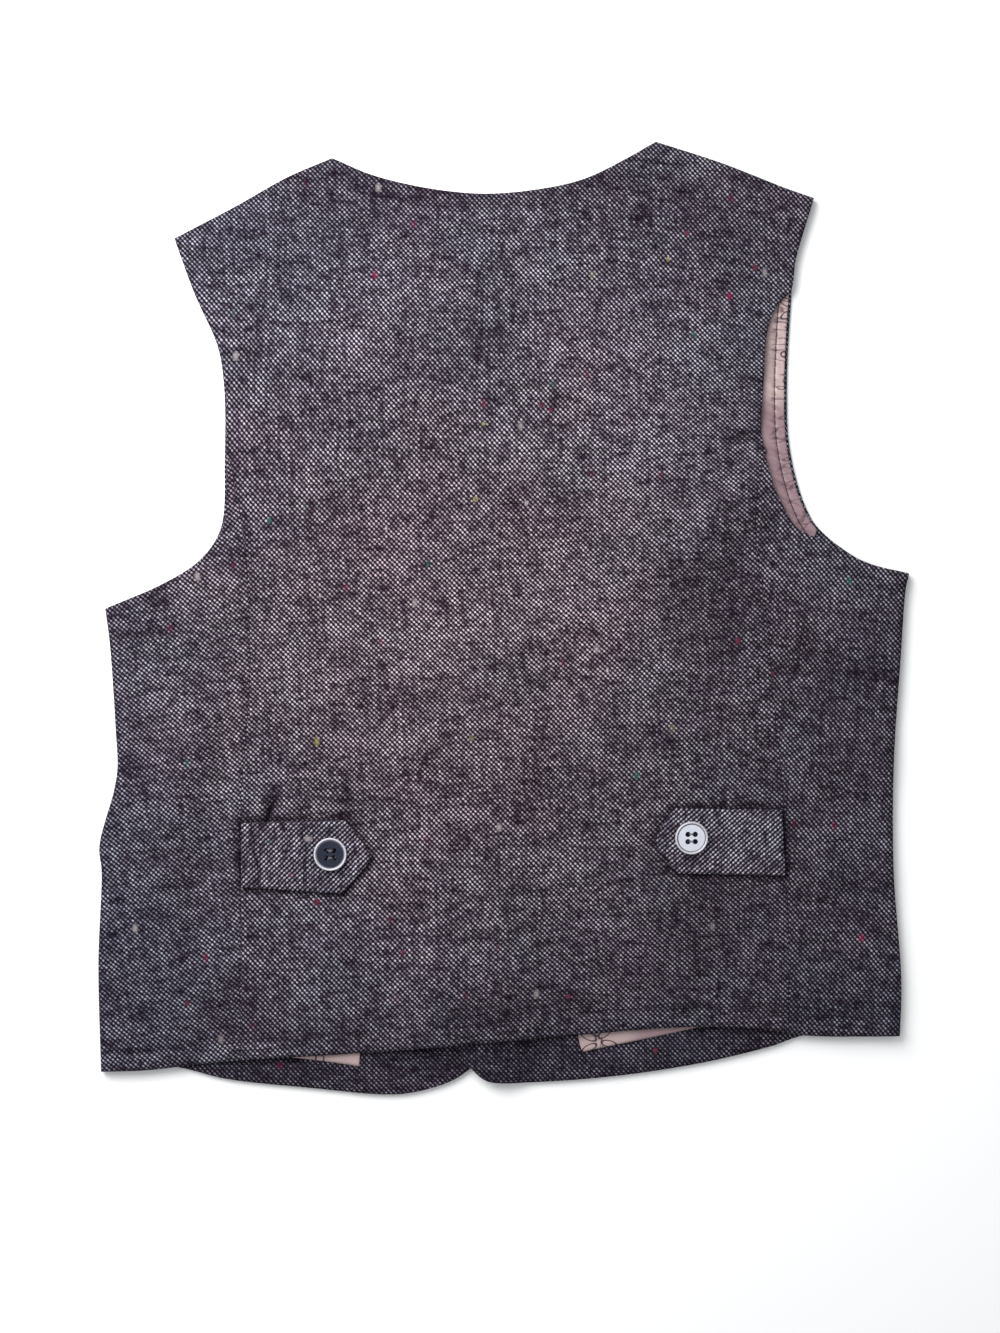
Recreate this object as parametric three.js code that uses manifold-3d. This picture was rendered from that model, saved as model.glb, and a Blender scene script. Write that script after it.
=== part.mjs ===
import * as THREE from "three";
import { mergeVertices } from "three/addons/utils/BufferGeometryUtils.js";
import Module from "manifold-3d";

// A suit waistcoat laid face down: the back is uppermost and the fronts lie buttoned under it.
// Millimetres. +Y runs from hem to neck, +X to the wearer's right, +Z up from the surface.

const wasm = await Module();
wasm.setup();

// Cloth thicknesses. The fronts are interfaced tweed, the back is tweed with its pressed turnings.
const frontWall = 1.8;
const liningWall = 1.0;
const backWall = 2.0;
const tabWall = 2.4;
const seamGap = 0.3;
const frontStack = frontWall + seamGap + liningWall;

// Construction sizes.
const turnedEdge = 5;
const turnedEdgeBack = 4.5;
const armholeTurning = 1.6;
const edgeRise = 0.8;
const hemBandAtSide = 16.5;
const hemBandAtFacing = 13.7;
const facingWidth = 68;
const facingWidthAtShoulder = 42;
const lapWidth = 22;
const lapClearance = 0.9;
const lapStep = frontStack + lapClearance;
const lapFlat = 5;
const lapRamp = 20;
const backClearance = 1.2;
const backRamp = 58;
const openingSag = 1.5;
const openingSlope = 60;
const lapFade = { from: 24, to: 84 };

// Reach of the bump that each front button makes in the fronts over it, and in the back.
const frontBump = { flat: 16, foot: 34 };
const backBump = { flat: 22, foot: 46 };

// Closure: four buttons on one line, the wearer's left front outermost.
const closureX = -19.5;
const topButtonY = -20;
const buttonSpacing = 55;
const frontButtonCount = 4;
const rowsPerButton = 4;
const rowPitch = buttonSpacing / rowsPerButton;
const leftEdgeX = closureX + lapWidth / 2;
const rightEdgeX = closureX - lapWidth / 2;
const breakY = topButtonY + rowPitch;
const closureRows = 15;
const cornerY = breakY - closureRows * rowPitch;

// Buttons: four-hole, 28 ligne, with a raised rim.
const button = {
  radius: 8.75,
  rimInner: 7.2,
  height: 2.7,
  dish: 1.9,
  holeRadius: 1.1,
  holePitch: 3.8,
  facets: 20,
  holeFacets: 6,
};
const buttonLift = button.height + seamGap;

// Tabs on the back, each with a squared end in the seam and a point towards the centre.
const tabs = [
  {
    name: "left",
    endTop: { x: -140.2, y: -108.7 },
    endBottom: { x: -140.2, y: -145.5 },
    cornerTop: { x: -85.2, y: -108.1 },
    cornerBottom: { x: -82.3, y: -143.4 },
    tip: { x: -69.2, y: -127.4 },
    button: { x: -92.6, y: -125.7 },
  },
  {
    name: "right",
    endTop: { x: 148.3, y: -102.3 },
    endBottom: { x: 150.0, y: -137.3 },
    cornerTop: { x: 90.5, y: -101.3 },
    cornerBottom: { x: 92.7, y: -136.2 },
    tip: { x: 79.4, y: -118.7 },
    button: { x: 99.6, y: -116.8 },
  },
];

// Outlines as the garment lies, each a smooth line through a few places.
const neckline = [
  { x: -92.2, y: 246.2 },
  { x: -70, y: 236.9 },
  { x: -34.3, y: 229.2 },
  { x: -2.2, y: 227.5 },
  { x: 40.3, y: 234.3 },
  { x: 65.9, y: 246.2 },
  { x: 81.2, y: 255 },
];
const shoulderLeft = [
  { x: -176.4, y: 203.3 },
  { x: -143.2, y: 220.7 },
  { x: -116, y: 236 },
  { x: -92.2, y: 246.2 },
];
const shoulderRight = [
  { x: 81.2, y: 255 },
  { x: 116.9, y: 243.4 },
  { x: 151, y: 230 },
  { x: 165.7, y: 224.9 },
];
const sideLeft = [
  { x: -215.6, y: -242.4 },
  { x: -217, y: -184.8 },
  { x: -215.3, y: -135.4 },
  { x: -216.5, y: -121.8 },
  { x: -208.5, y: -91.2 },
  { x: -206.8, y: -79.2 },
  { x: -207.6, y: -62.2 },
  { x: -211, y: -12.8 },
  { x: -213.4, y: 5.2 },
];
const sideRight = [
  { x: 211.7, y: -223.3 },
  { x: 212.5, y: -194.1 },
  { x: 208.3, y: -133.7 },
  { x: 208.6, y: -74.1 },
  { x: 212, y: -23 },
  { x: 214.9, y: 16.1 },
  { x: 216.7, y: 24 },
];
const frontArmholeLeft = [
  { x: -213.4, y: 5.2 },
  { x: -180.7, y: 19.7 },
  { x: -162, y: 32.5 },
  { x: -151.8, y: 48.7 },
  { x: -149.8, y: 84 },
  { x: -150.1, y: 123.6 },
  { x: -153.5, y: 145.7 },
  { x: -165.4, y: 173 },
  { x: -176.4, y: 203.3 },
];
const frontArmholeRight = [
  { x: 216.7, y: 24 },
  { x: 198.7, y: 27.4 },
  { x: 169.7, y: 47 },
  { x: 161.2, y: 60.6 },
  { x: 153, y: 91.2 },
  { x: 151.5, y: 123.6 },
  { x: 153.6, y: 167.9 },
  { x: 156.1, y: 193.4 },
  { x: 165.7, y: 224.9 },
];
const backArmholeLeftLow = [
  { x: -213.4, y: 5.2 },
  { x: -180.7, y: 19.4 },
  { x: -161.6, y: 32 },
  { x: -150.4, y: 48.7 },
  { x: -148.4, y: 66 },
  { x: -148.3, y: 85.5 },
];
const backArmholeLeftHigh = [
  { x: -148.3, y: 88.5 },
  { x: -148.6, y: 123.6 },
  { x: -152.6, y: 145.7 },
  { x: -165.2, y: 173 },
  { x: -176.4, y: 203.3 },
];
const backArmholeRightLow = [
  { x: 216.7, y: 24 },
  { x: 195.3, y: 29.2 },
  { x: 169.5, y: 42 },
  { x: 156.4, y: 48.5 },
  { x: 149.4, y: 59.5 },
  { x: 143.9, y: 71.4 },
  { x: 140.2, y: 85.5 },
];
const backArmholeRightHigh = [
  { x: 139.8, y: 88.5 },
  { x: 137.6, y: 98.7 },
  { x: 139, y: 128.5 },
  { x: 141, y: 156 },
  { x: 146.7, y: 171.9 },
  { x: 154, y: 190 },
  { x: 165.7, y: 224.9 },
];
const seamLeft = [
  { x: -140.6, y: -235.6 },
  { x: -140.8, y: -145 },
  { x: -140.6, y: -97 },
  { x: -136.4, y: -43.5 },
  { x: -135.7, y: -11.5 },
  { x: -137.5, y: 30 },
  { x: -141.5, y: 60 },
  { x: -147, y: 86 },
];
const seamRight = [
  { x: 152.3, y: -221.3 },
  { x: 151, y: -134.3 },
  { x: 149.4, y: -96.9 },
  { x: 145.1, y: -54.2 },
  { x: 139.3, y: 9.9 },
  { x: 135, y: 39.2 },
  { x: 134.6, y: 60 },
  { x: 138.7, y: 86 },
];
const backHem = [
  { x: -215.6, y: -242.4 },
  { x: -189.5, y: -241.4 },
  { x: -152.1, y: -237 },
  { x: -77.2, y: -232.4 },
  { x: -15.9, y: -226.9 },
  { x: 30.7, y: -223.3 },
  { x: 98.8, y: -218.4 },
  { x: 134.5, y: -219.2 },
  { x: 161.7, y: -223 },
  { x: 211.7, y: -223.3 },
];
const frontHemLeft = [
  { x: -215.6, y: -242.4 },
  { x: -177.6, y: -240 },
  { x: -148.7, y: -246.5 },
  { x: -106.1, y: -251.1 },
  { x: -56.7, y: -254.7 },
  { x: -36.3, y: -250.6 },
  { x: -26.1, y: -246.5 },
  { x: -14, y: -238 },
];
const frontHemRight = [
  { x: -20, y: -238 },
  { x: -10.7, y: -246.5 },
  { x: -3.9, y: -248.2 },
  { x: 49.4, y: -246 },
  { x: 103.9, y: -238.3 },
  { x: 143.1, y: -229 },
  { x: 161.7, y: -223 },
  { x: 211.7, y: -223.3 },
];
const cornerLeft = [
  { x: -14, y: -238 },
  { x: -9.6, y: -228 },
  { x: leftEdgeX, y: cornerY },
];
const cornerRight = [
  { x: -20, y: -238 },
  { x: -27.2, y: -226 },
  { x: rightEdgeX, y: cornerY },
];
const frontNeckLeft = [
  { x: leftEdgeX, y: breakY },
  { x: -22, y: 26 },
  { x: -54, y: 95 },
  { x: -80, y: 175 },
  { x: -92.2, y: 246.2 },
];
const frontNeckRight = [
  { x: rightEdgeX, y: breakY },
  { x: -15, y: 28 },
  { x: 26, y: 102 },
  { x: 61, y: 182 },
  { x: 81.2, y: 255 },
];

// Creases pressed into the back as it lies: ridges stand up, troughs have a negative height.
const folds = [
  { name: "right blade trough", fromX: 142, fromY: 44, toX: 78, toY: -17, width: 11, height: -0.9 },
  { name: "right blade ridge", fromX: 128, fromY: 62, toX: 62, toY: 6, width: 15, height: 1.5 },
  { name: "right side hollow", fromX: 153, fromY: -14, toX: 192, toY: -15, width: 12, height: -0.9 },
  { name: "right side ridge", fromX: 160, fromY: -48, toX: 200, toY: -40, width: 15, height: 2.2 },
  { name: "right hip hollow", fromX: 186, fromY: -78, toX: 196, toY: -92, width: 15, height: -0.9 },
  { name: "right hip crease", fromX: 168, fromY: -150, toX: 203, toY: -150, width: 7, height: -0.8 },
  { name: "right underarm ridge", fromX: 170, fromY: 26, toX: 212, toY: 19, width: 8, height: 1.8 },
  { name: "right hem lift", fromX: 120, fromY: -176, toX: 196, toY: -190, width: 22, height: 1.4 },
  { name: "left waist ridge", fromX: -160, fromY: -52, toX: -178, toY: -138, width: 13, height: 2.4 },
  { name: "left waist trough", fromX: -149, fromY: -62, toX: -163, toY: -134, width: 8, height: -0.9 },
  { name: "left arc crease", fromX: -148, fromY: -74, toX: -84, toY: -60, width: 8, height: -0.8 },
  { name: "left arc ridge", fromX: -140, fromY: -56, toX: -86, toY: -42, width: 11, height: 1.4 },
  { name: "centre ridge", fromX: -36, fromY: -30, toX: 16, toY: 12, width: 13, height: 1.0 },
  { name: "left blade ridge", fromX: -120, fromY: 70, toX: -78, toY: 18, width: 20, height: 1.2 },
  { name: "right shoulder ridge", fromX: 122, fromY: 150, toX: 96, toY: 205, width: 18, height: 1.3 },
  { name: "left hip ridge", fromX: -196, fromY: -176, toX: -150, toY: -196, width: 18, height: 1.5 },
];

const tweed = { color: "#5a535c", roughness: 0.95, metalness: 0 };
const liningCloth = { color: "#c2abaa", roughness: 0.7, metalness: 0 };
const buttonFinish = { color: "#8d929d", roughness: 0.25, metalness: 0.35 };

const mix = (a, b, t) => a + (b - a) * t;

function smooth(from, to, value) {
  return THREE.MathUtils.smoothstep(value, from, to);
}

function lineThrough(rows) {
  const points = rows.map(({ x, y }) => new THREE.Vector3(x, y, 0));
  return new THREE.CatmullRomCurve3(points, false, "centripetal");
}

// Points along a line: its start, given distances from the start, even steps, given distances
// from the end, and its end.
function pointsAlong(rows, steps, startInsets = [], endInsets = []) {
  const line = lineThrough(rows);
  const length = line.getLength();
  const first = startInsets.at(-1) ?? 0;
  const last = length - (endInsets.at(0) ?? 0);
  const distances = startInsets.length ? [0, ...startInsets] : [0];
  for (let step = 1; step <= steps; step += 1) {
    distances.push(mix(first, last, step / steps));
  }
  if (endInsets.length) {
    distances.push(length);
  }
  return distances.map((distance) => line.getPointAt(distance / length));
}

// Reads one coordinate of a line from the other one.
function readLine(rows, given, wanted) {
  const samples = lineThrough(rows).getSpacedPoints(160);
  samples.sort((a, b) => a[given] - b[given]);
  return (value) => {
    const after = samples.findIndex((point) => point[given] >= value);
    if (after === 0) {
      return samples[0][wanted];
    }
    if (after < 0) {
      return samples.at(-1)[wanted];
    }
    const low = samples[after - 1];
    const high = samples[after];
    const part = (value - low[given]) / Math.max(high[given] - low[given], 1e-9);
    return mix(low[wanted], high[wanted], part);
  };
}

const joinLines = (...stretches) => stretches.flatMap((stretch, i) => (i ? stretch.slice(1) : stretch));

// A panel's points: each row runs from the left line to the right line, bent by the bottom and
// top lines. columnsAt(row, width) gives the fractions of the row where its points lie, and
// hemFade says how soon the rows above the bottom line run straight.
function layOut({ left, right, bottomY, topY, columnsAt, hemFade = 1 }) {
  const reach = (line) => {
    const lengths = [0];
    for (let i = 1; i < line.length; i += 1) {
      lengths.push(lengths[i - 1] + line[i].distanceTo(line[i - 1]));
    }
    return lengths.map((length) => length / lengths.at(-1));
  };
  const leftReach = reach(left);
  const rightReach = reach(right);
  const bend = (edgeY, start, end, s) => edgeY(mix(start.x, end.x, s)) - mix(start.y, end.y, s);
  return left.map((start, row) => {
    const end = right[row];
    const height = (leftReach[row] + rightReach[row]) / 2;
    return columnsAt(row, end.x - start.x).map((s) => {
      const low = (1 - height) ** hemFade * bend(bottomY, left[0], right[0], s);
      const high = height * bend(topY, left.at(-1), right.at(-1), s);
      return { x: mix(start.x, end.x, s), y: mix(start.y, end.y, s) + low + high };
    });
  });
}

// A closed wall of cloth over a panel's points, between an under and an upper surface.
function clothWall(points, underZ, upperZ) {
  const rows = points.length;
  const columns = points[0].length;
  const count = rows * columns;
  const positions = new Float32Array(count * 6);
  points.forEach((line, row) => line.forEach((point, column) => {
    const at = row * columns + column;
    positions.set([point.x, point.y, upperZ(row, column, point)], at * 3);
    positions.set([point.x, point.y, underZ(row, column, point)], (count + at) * 3);
  }));
  const faces = [];
  const quad = (a, b, c, d) => faces.push(a, b, c, a, c, d);
  for (let row = 0; row < rows - 1; row += 1) {
    for (let column = 0; column < columns - 1; column += 1) {
      const a = row * columns + column;
      const b = a + 1;
      const c = b + columns;
      const d = a + columns;
      quad(a, b, c, d);
      faces.push(count + a, count + c, count + b, count + a, count + d, count + c);
    }
  }
  const wall = (a, b) => quad(count + a, count + b, b, a);
  for (let column = 0; column < columns - 1; column += 1) {
    const top = (rows - 1) * columns + column;
    wall(column, column + 1);
    wall(top + 1, top);
  }
  for (let row = 0; row < rows - 1; row += 1) {
    const at = row * columns;
    wall(at + columns, at);
    wall(at + columns - 1, at + 2 * columns - 1);
  }
  const geometry = new THREE.BufferGeometry();
  geometry.setAttribute("position", new THREE.BufferAttribute(positions, 3));
  geometry.setIndex(faces);
  geometry.computeVertexNormals();
  return geometry;
}

const waistcoat = new THREE.Group();

function addPiece(name, geometry, finish) {
  const mesh = new THREE.Mesh(geometry, new THREE.MeshStandardMaterial(finish));
  mesh.name = name;
  waistcoat.add(mesh);
  return mesh;
}

// Heights of the layers.

const frontButtons = Array.from({ length: frontButtonCount }, (_, i) => ({
  x: closureX,
  y: topButtonY - i * buttonSpacing,
}));
const leftNeckX = readLine(frontNeckLeft, "y", "x");
const rightNeckX = readLine(frontNeckRight, "y", "x");

// How far the cloth is held up by the front buttons under it.
function liftAt({ x, y }, { flat, foot }) {
  const lifts = frontButtons.map((at) => 1 - smooth(flat, foot, Math.hypot(x - at.x, y - at.y)));
  return buttonLift * Math.max(...lifts);
}

function leftFrontUnder(point) {
  return liftAt(point, frontBump);
}

// The right front climbs over the edge of the left front, facing and all.
function rightFrontUnder(point) {
  const edge = point.y > breakY ? leftNeckX(point.y) : leftEdgeX;
  return liftAt(point, frontBump) + lapStep * (1 - smooth(lapFlat, lapFlat + lapRamp, point.x - edge));
}

function foldAt({ x, y }) {
  return folds.reduce((sum, fold) => {
    const along = new THREE.Vector2(fold.toX - fold.fromX, fold.toY - fold.fromY);
    const away = new THREE.Vector2(x - fold.fromX, y - fold.fromY);
    const part = THREE.MathUtils.clamp(away.dot(along) / along.lengthSq(), 0, 1);
    const distance = away.addScaledVector(along, -part).length();
    return sum + fold.height * Math.exp(-((distance / fold.width) ** 2));
  }, 0);
}

// The back lies over all of it, softer than what is underneath, and sags in the neck opening.
function backUnder(point) {
  const { x, y } = point;
  const inOpening = y > breakY ? Math.min(x - leftNeckX(y), rightNeckX(y) - x) : 0;
  const sag = openingSag * smooth(0, openingSlope, inOpening);
  const climb = smooth(closureX - backRamp, closureX - lapWidth * 0.6, x);
  const fall = smooth(closureX + lapWidth * 0.8, closureX + backRamp, x);
  const lap = lapStep * climb * (1 - fall) * (1 - smooth(lapFade.from, lapFade.to, y));
  return frontStack - sag + lap + liftAt(point, backBump) + backClearance + foldAt(point);
}

// Fronts, with the facing along the edge and the lining beyond it.

const neckRows = 12;
const liningColumns = 5;
const frontHemFade = 14;
const facingMarks = [1, 0.66, 0.49, 0.324, 0.162, 0];

// Columns counted from the side: side edge, turned edge, lining, facing seam, facing, front edge.
function frontColumns(row, width, rowCount) {
  const sideRows = closureRows + 3;
  const turning = row <= sideRows ? turnedEdge : armholeTurning;
  const upNeck = Math.max(0, (row - sideRows) / (rowCount - 1 - sideRows));
  const facing = mix(facingWidth, facingWidthAtShoulder, upNeck);
  const seam = width - facing - seamGap;
  const columns = [0, turning];
  for (let i = 1; i <= liningColumns; i += 1) {
    columns.push(mix(turning, seam, i / liningColumns));
  }
  facingMarks.forEach((mark) => columns.push(width - facing * mark));
  return columns.map((distance) => distance / width);
}

function layOutFront({ side, hem, corner, edgeX, neck, armhole, shoulder, mirrored }) {
  const sideLine = joinLines(
    pointsAlong(side, closureRows + 1, [hemBandAtSide - seamGap, hemBandAtSide]),
    pointsAlong(armhole, neckRows - 1, [], [turnedEdge]),
  );
  const edgeLine = joinLines(
    pointsAlong(corner, 1, [hemBandAtFacing - seamGap, hemBandAtFacing]),
    pointsAlong([{ x: edgeX, y: cornerY }, { x: edgeX, y: breakY }], closureRows),
    pointsAlong(neck, neckRows - 1, [], [turnedEdge]),
  );
  const rowCount = sideLine.length;
  const columnsAt = (row, width) => {
    const columns = frontColumns(row, width, rowCount);
    return mirrored ? columns.map((s) => 1 - s).reverse() : columns;
  };
  return layOut({
    left: mirrored ? edgeLine : sideLine,
    right: mirrored ? sideLine : edgeLine,
    bottomY: readLine(hem, "x", "y"),
    topY: readLine(shoulder, "x", "y"),
    columnsAt,
    hemFade: frontHemFade,
  });
}

function addFront(name, lines, under) {
  const points = layOutFront(lines);
  const lastRow = points.length - 1;
  const lastColumn = points[0].length - 1;
  const fromSide = (column) => (lines.mirrored ? lastColumn - column : column);
  const slice = (rows, columns) => points.slice(...rows).map((line) => line.slice(...columns));
  const sideRows = closureRows + 3;
  const seamColumn = liningColumns + 1;

  const underZ = (row, column, point) => {
    const atSide = fromSide(column) === 0 && row <= sideRows;
    const atSeam = atSide || row === lastRow;
    return under(point) + (atSeam ? edgeRise : 0);
  };
  // The hem is turned up inside, as thick there as the lining that butts against it.
  const upperZ = (row, column, point) => {
    const inBand = row <= 1 && fromSide(column) >= 1 && fromSide(column) <= seamColumn;
    return underZ(row, column, point) + frontWall + (inBand ? seamGap + liningWall : 0);
  };
  addPiece(`front_${name}`, clothWall(points, underZ, upperZ), tweed);

  const innerUnder = (row, column, point) => under(point) + frontWall + seamGap;
  const innerUpper = (row, column, point) => innerUnder(row, column, point) + liningWall;
  const seamSide = lines.mirrored ? lastColumn - seamColumn : seamColumn;
  const facing = lines.mirrored ? [0, seamSide] : [seamSide + 1, lastColumn + 1];
  const lining = lines.mirrored ? [seamSide, lastColumn] : [1, seamSide + 1];
  addPiece(`facing_${name}`, clothWall(slice([0, lastRow], facing), innerUnder, innerUpper), tweed);
  addPiece(`lining_${name}`, clothWall(slice([2, lastRow], lining), innerUnder, innerUpper), liningCloth);
}

addFront("left", {
  side: sideLeft,
  hem: frontHemLeft,
  corner: cornerLeft,
  edgeX: leftEdgeX,
  neck: frontNeckLeft,
  armhole: frontArmholeLeft,
  shoulder: shoulderLeft,
  mirrored: false,
}, leftFrontUnder);
addFront("right", {
  side: sideRight,
  hem: frontHemRight,
  corner: cornerRight,
  edgeX: rightEdgeX,
  neck: frontNeckRight,
  armhole: frontArmholeRight,
  shoulder: shoulderRight,
  mirrored: true,
}, rightFrontUnder);

// Back: a centre panel and two side panels, joined by long seams from armhole to hem.

const seamRows = 24;
const armholeRows = 9;
const underarmRow = 17;
const backHemY = readLine(backHem, "x", "y");
const pinchedUnder = frontWall + edgeRise + seamGap;
const movedX = (line, shift) => line.map((point) => point.clone().setX(point.x + shift));

const shoulderLeftY = readLine(shoulderLeft, "x", "y");
const shoulderRightY = readLine(shoulderRight, "x", "y");
const necklineY = readLine(neckline, "x", "y");
const neckLeft = neckline[0].x;
const neckRight = neckline.at(-1).x;

function backTopY(x) {
  if (x < neckLeft) {
    return shoulderLeftY(x);
  }
  return x > neckRight ? shoulderRightY(x) : necklineY(x);
}

const shoulderColumns = 6;
const neckColumns = 12;

// Columns of the centre panel spread evenly at the hem and meet the neck points at the top.
function centreColumns(row, rowCount) {
  const tipLeft = shoulderLeft[0].x;
  const tipRight = shoulderRight.at(-1).x;
  const stops = [tipLeft, neckLeft, neckRight, tipRight];
  const steps = [shoulderColumns, neckColumns, shoulderColumns];
  const atTop = [0];
  steps.forEach((count, i) => {
    for (let step = 1; step <= count; step += 1) {
      const x = mix(stops[i], stops[i + 1], step / count);
      atTop.push((x - tipLeft) / (tipRight - tipLeft));
    }
  });
  const height = row / (rowCount - 1);
  return atTop.map((s, i) => mix(i / (atTop.length - 1), s, height));
}

const centreLeft = joinLines(
  movedX(pointsAlong(seamLeft, seamRows), seamGap / 2),
  [null, ...pointsAlong(backArmholeLeftHigh, armholeRows - 1, [], [turnedEdgeBack])],
);
const centreRight = joinLines(
  movedX(pointsAlong(seamRight, seamRows), -seamGap / 2),
  [null, ...pointsAlong(backArmholeRightHigh, armholeRows - 1, [], [turnedEdgeBack])],
);
const centrePoints = layOut({
  left: centreLeft,
  right: centreRight,
  bottomY: backHemY,
  topY: backTopY,
  columnsAt: (row) => centreColumns(row, centreLeft.length),
});
const onShoulder = (row, { x }) => row === centrePoints.length - 1 && (x < neckLeft || x > neckRight);
const centreUnder = (row, column, point) => (onShoulder(row, point) ? pinchedUnder : backUnder(point));
const centreUpper = (row, column, point) => centreUnder(row, column, point) + backWall;
addPiece("back_centre", clothWall(centrePoints, centreUnder, centreUpper), tweed);

const sideColumns = 6;

function addBackSide(name, side, armhole, seam, mirrored) {
  const outer = joinLines(pointsAlong(side, underarmRow), pointsAlong(armhole, seamRows - underarmRow));
  const inner = movedX(pointsAlong(seam, seamRows), mirrored ? seamGap / 2 : -seamGap / 2);
  const columnsAt = (row, width) => {
    const turning = Math.min(turnedEdgeBack / width, 0.5 / sideColumns);
    const columns = [0, turning];
    for (let i = 1; i <= sideColumns; i += 1) {
      columns.push(mix(turning, 1, i / sideColumns));
    }
    return mirrored ? columns.map((s) => 1 - s).reverse() : columns;
  };
  const straight = (a, b) => (x) => mix(a.y, b.y, (x - a.x) / (b.x - a.x));
  const left = mirrored ? inner : outer;
  const right = mirrored ? outer : inner;
  const points = layOut({
    left,
    right,
    bottomY: backHemY,
    topY: straight(left.at(-1), right.at(-1)),
    columnsAt,
  });
  const edgeColumn = mirrored ? points[0].length - 1 : 0;
  const underZ = (row, column, point) => (
    column === edgeColumn && row <= underarmRow ? pinchedUnder : backUnder(point)
  );
  const upperZ = (row, column, point) => underZ(row, column, point) + backWall;
  addPiece(`back_side_${name}`, clothWall(points, underZ, upperZ), tweed);
}

addBackSide("left", sideLeft, backArmholeLeftLow, seamLeft, false);
addBackSide("right", sideRight, backArmholeRightLow, seamRight, true);

// Tabs lie on the centre panel.

const tabUnder = (point) => backUnder(point) + backWall + seamGap;

function addTab({ name, endTop, endBottom, cornerTop, cornerBottom, tip }) {
  const between = (a, b, steps) => Array.from({ length: steps + 1 }, (_, i) => (
    new THREE.Vector3(mix(a.x, b.x, i / steps), mix(a.y, b.y, i / steps), 0)
  ));
  const endLine = between(endBottom, endTop, 6);
  const pointLine = joinLines(between(cornerBottom, tip, 3), between(tip, cornerTop, 3));
  const mirrored = endTop.x > 0;
  const left = mirrored ? pointLine : endLine;
  const right = mirrored ? endLine : pointLine;
  const straight = (a, b) => (x) => mix(a.y, b.y, (x - a.x) / (b.x - a.x));
  const points = layOut({
    left,
    right,
    bottomY: straight(left[0], right[0]),
    topY: straight(left.at(-1), right.at(-1)),
    columnsAt: () => Array.from({ length: 9 }, (_, i) => i / 8),
  });
  const underZ = (row, column, point) => tabUnder(point);
  const upperZ = (row, column, point) => tabUnder(point) + tabWall;
  addPiece(`tab_${name}`, clothWall(points, underZ, upperZ), tweed);
}

tabs.forEach(addTab);

// Buttons.

function toSolid(geometry) {
  const bare = geometry.index ? geometry.clone() : geometry;
  bare.deleteAttribute("normal");
  bare.deleteAttribute("uv");
  const merged = mergeVertices(bare, 1e-4);
  return new wasm.Manifold(new wasm.Mesh({
    numProp: 3,
    vertProperties: new Float32Array(merged.attributes.position.array),
    triVerts: new Uint32Array(merged.index.array),
  }));
}

function toGeometry(solid) {
  const { vertProperties, triVerts } = solid.getMesh();
  const geometry = new THREE.BufferGeometry();
  geometry.setAttribute("position", new THREE.BufferAttribute(new Float32Array(vertProperties), 3));
  geometry.setIndex(new THREE.BufferAttribute(new Uint32Array(triVerts), 1));
  geometry.computeVertexNormals();
  return geometry;
}

function buttonGeometry() {
  const { radius, rimInner, height, dish, holeRadius, holePitch, facets, holeFacets } = button;
  const profile = [
    new THREE.Vector2(0, 0),
    new THREE.Vector2(radius - 1, 0),
    new THREE.Vector2(radius, 1),
    new THREE.Vector2(radius, height - 0.7),
    new THREE.Vector2(radius - 0.5, height),
    new THREE.Vector2(rimInner, height),
    new THREE.Vector2(rimInner - 0.8, dish),
    new THREE.Vector2(0, dish),
  ];
  let solid = toSolid(new THREE.LatheGeometry(profile, facets));
  for (const sx of [-1, 1]) {
    for (const sy of [-1, 1]) {
      const hole = new THREE.CylinderGeometry(holeRadius, holeRadius, height * 3, holeFacets);
      hole.translate(sx * holePitch / 2, 0, sy * holePitch / 2);
      solid = solid.subtract(toSolid(hole));
    }
  }
  return toGeometry(solid).rotateX(Math.PI / 2);
}

frontButtons.forEach((at, i) => {
  const mesh = addPiece(`front_button_${i + 1}`, buttonGeometry(), buttonFinish);
  mesh.rotation.x = Math.PI;
  mesh.position.set(at.x, at.y, button.height);
});

tabs.forEach(({ name, button: at }) => {
  const rest = [[0, 0], [1, 0], [-1, 0], [0, 1], [0, -1]].map(([dx, dy]) => (
    tabUnder({ x: at.x + dx * button.radius, y: at.y + dy * button.radius })
  ));
  const mesh = addPiece(`tab_button_${name}`, buttonGeometry(), buttonFinish);
  mesh.position.set(at.x, at.y, Math.max(...rest) + tabWall + seamGap);
});

export default waistcoat;
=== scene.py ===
import math

import bpy
import numpy as np
from mathutils import Matrix, Vector


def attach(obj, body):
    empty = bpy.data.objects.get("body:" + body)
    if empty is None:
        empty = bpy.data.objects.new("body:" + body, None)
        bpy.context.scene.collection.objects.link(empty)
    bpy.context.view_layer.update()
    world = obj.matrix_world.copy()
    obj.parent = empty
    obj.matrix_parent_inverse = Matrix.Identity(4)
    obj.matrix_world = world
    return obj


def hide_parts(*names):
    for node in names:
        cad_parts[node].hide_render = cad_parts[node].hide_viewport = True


# Tweed waistcoat, laid face down on a pale table and seen from straight above.
# Tables are in millimetres as the garment lies: +y from hem to neck, +x to the wearer's right.
mm = 0.001

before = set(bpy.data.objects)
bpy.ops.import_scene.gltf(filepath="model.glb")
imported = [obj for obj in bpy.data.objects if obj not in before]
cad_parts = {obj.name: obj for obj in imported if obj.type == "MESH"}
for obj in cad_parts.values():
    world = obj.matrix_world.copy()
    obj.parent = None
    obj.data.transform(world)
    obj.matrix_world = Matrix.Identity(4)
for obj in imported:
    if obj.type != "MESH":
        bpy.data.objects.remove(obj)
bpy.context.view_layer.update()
print("frame loaded:", len(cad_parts), "solids")

# Stage

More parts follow.
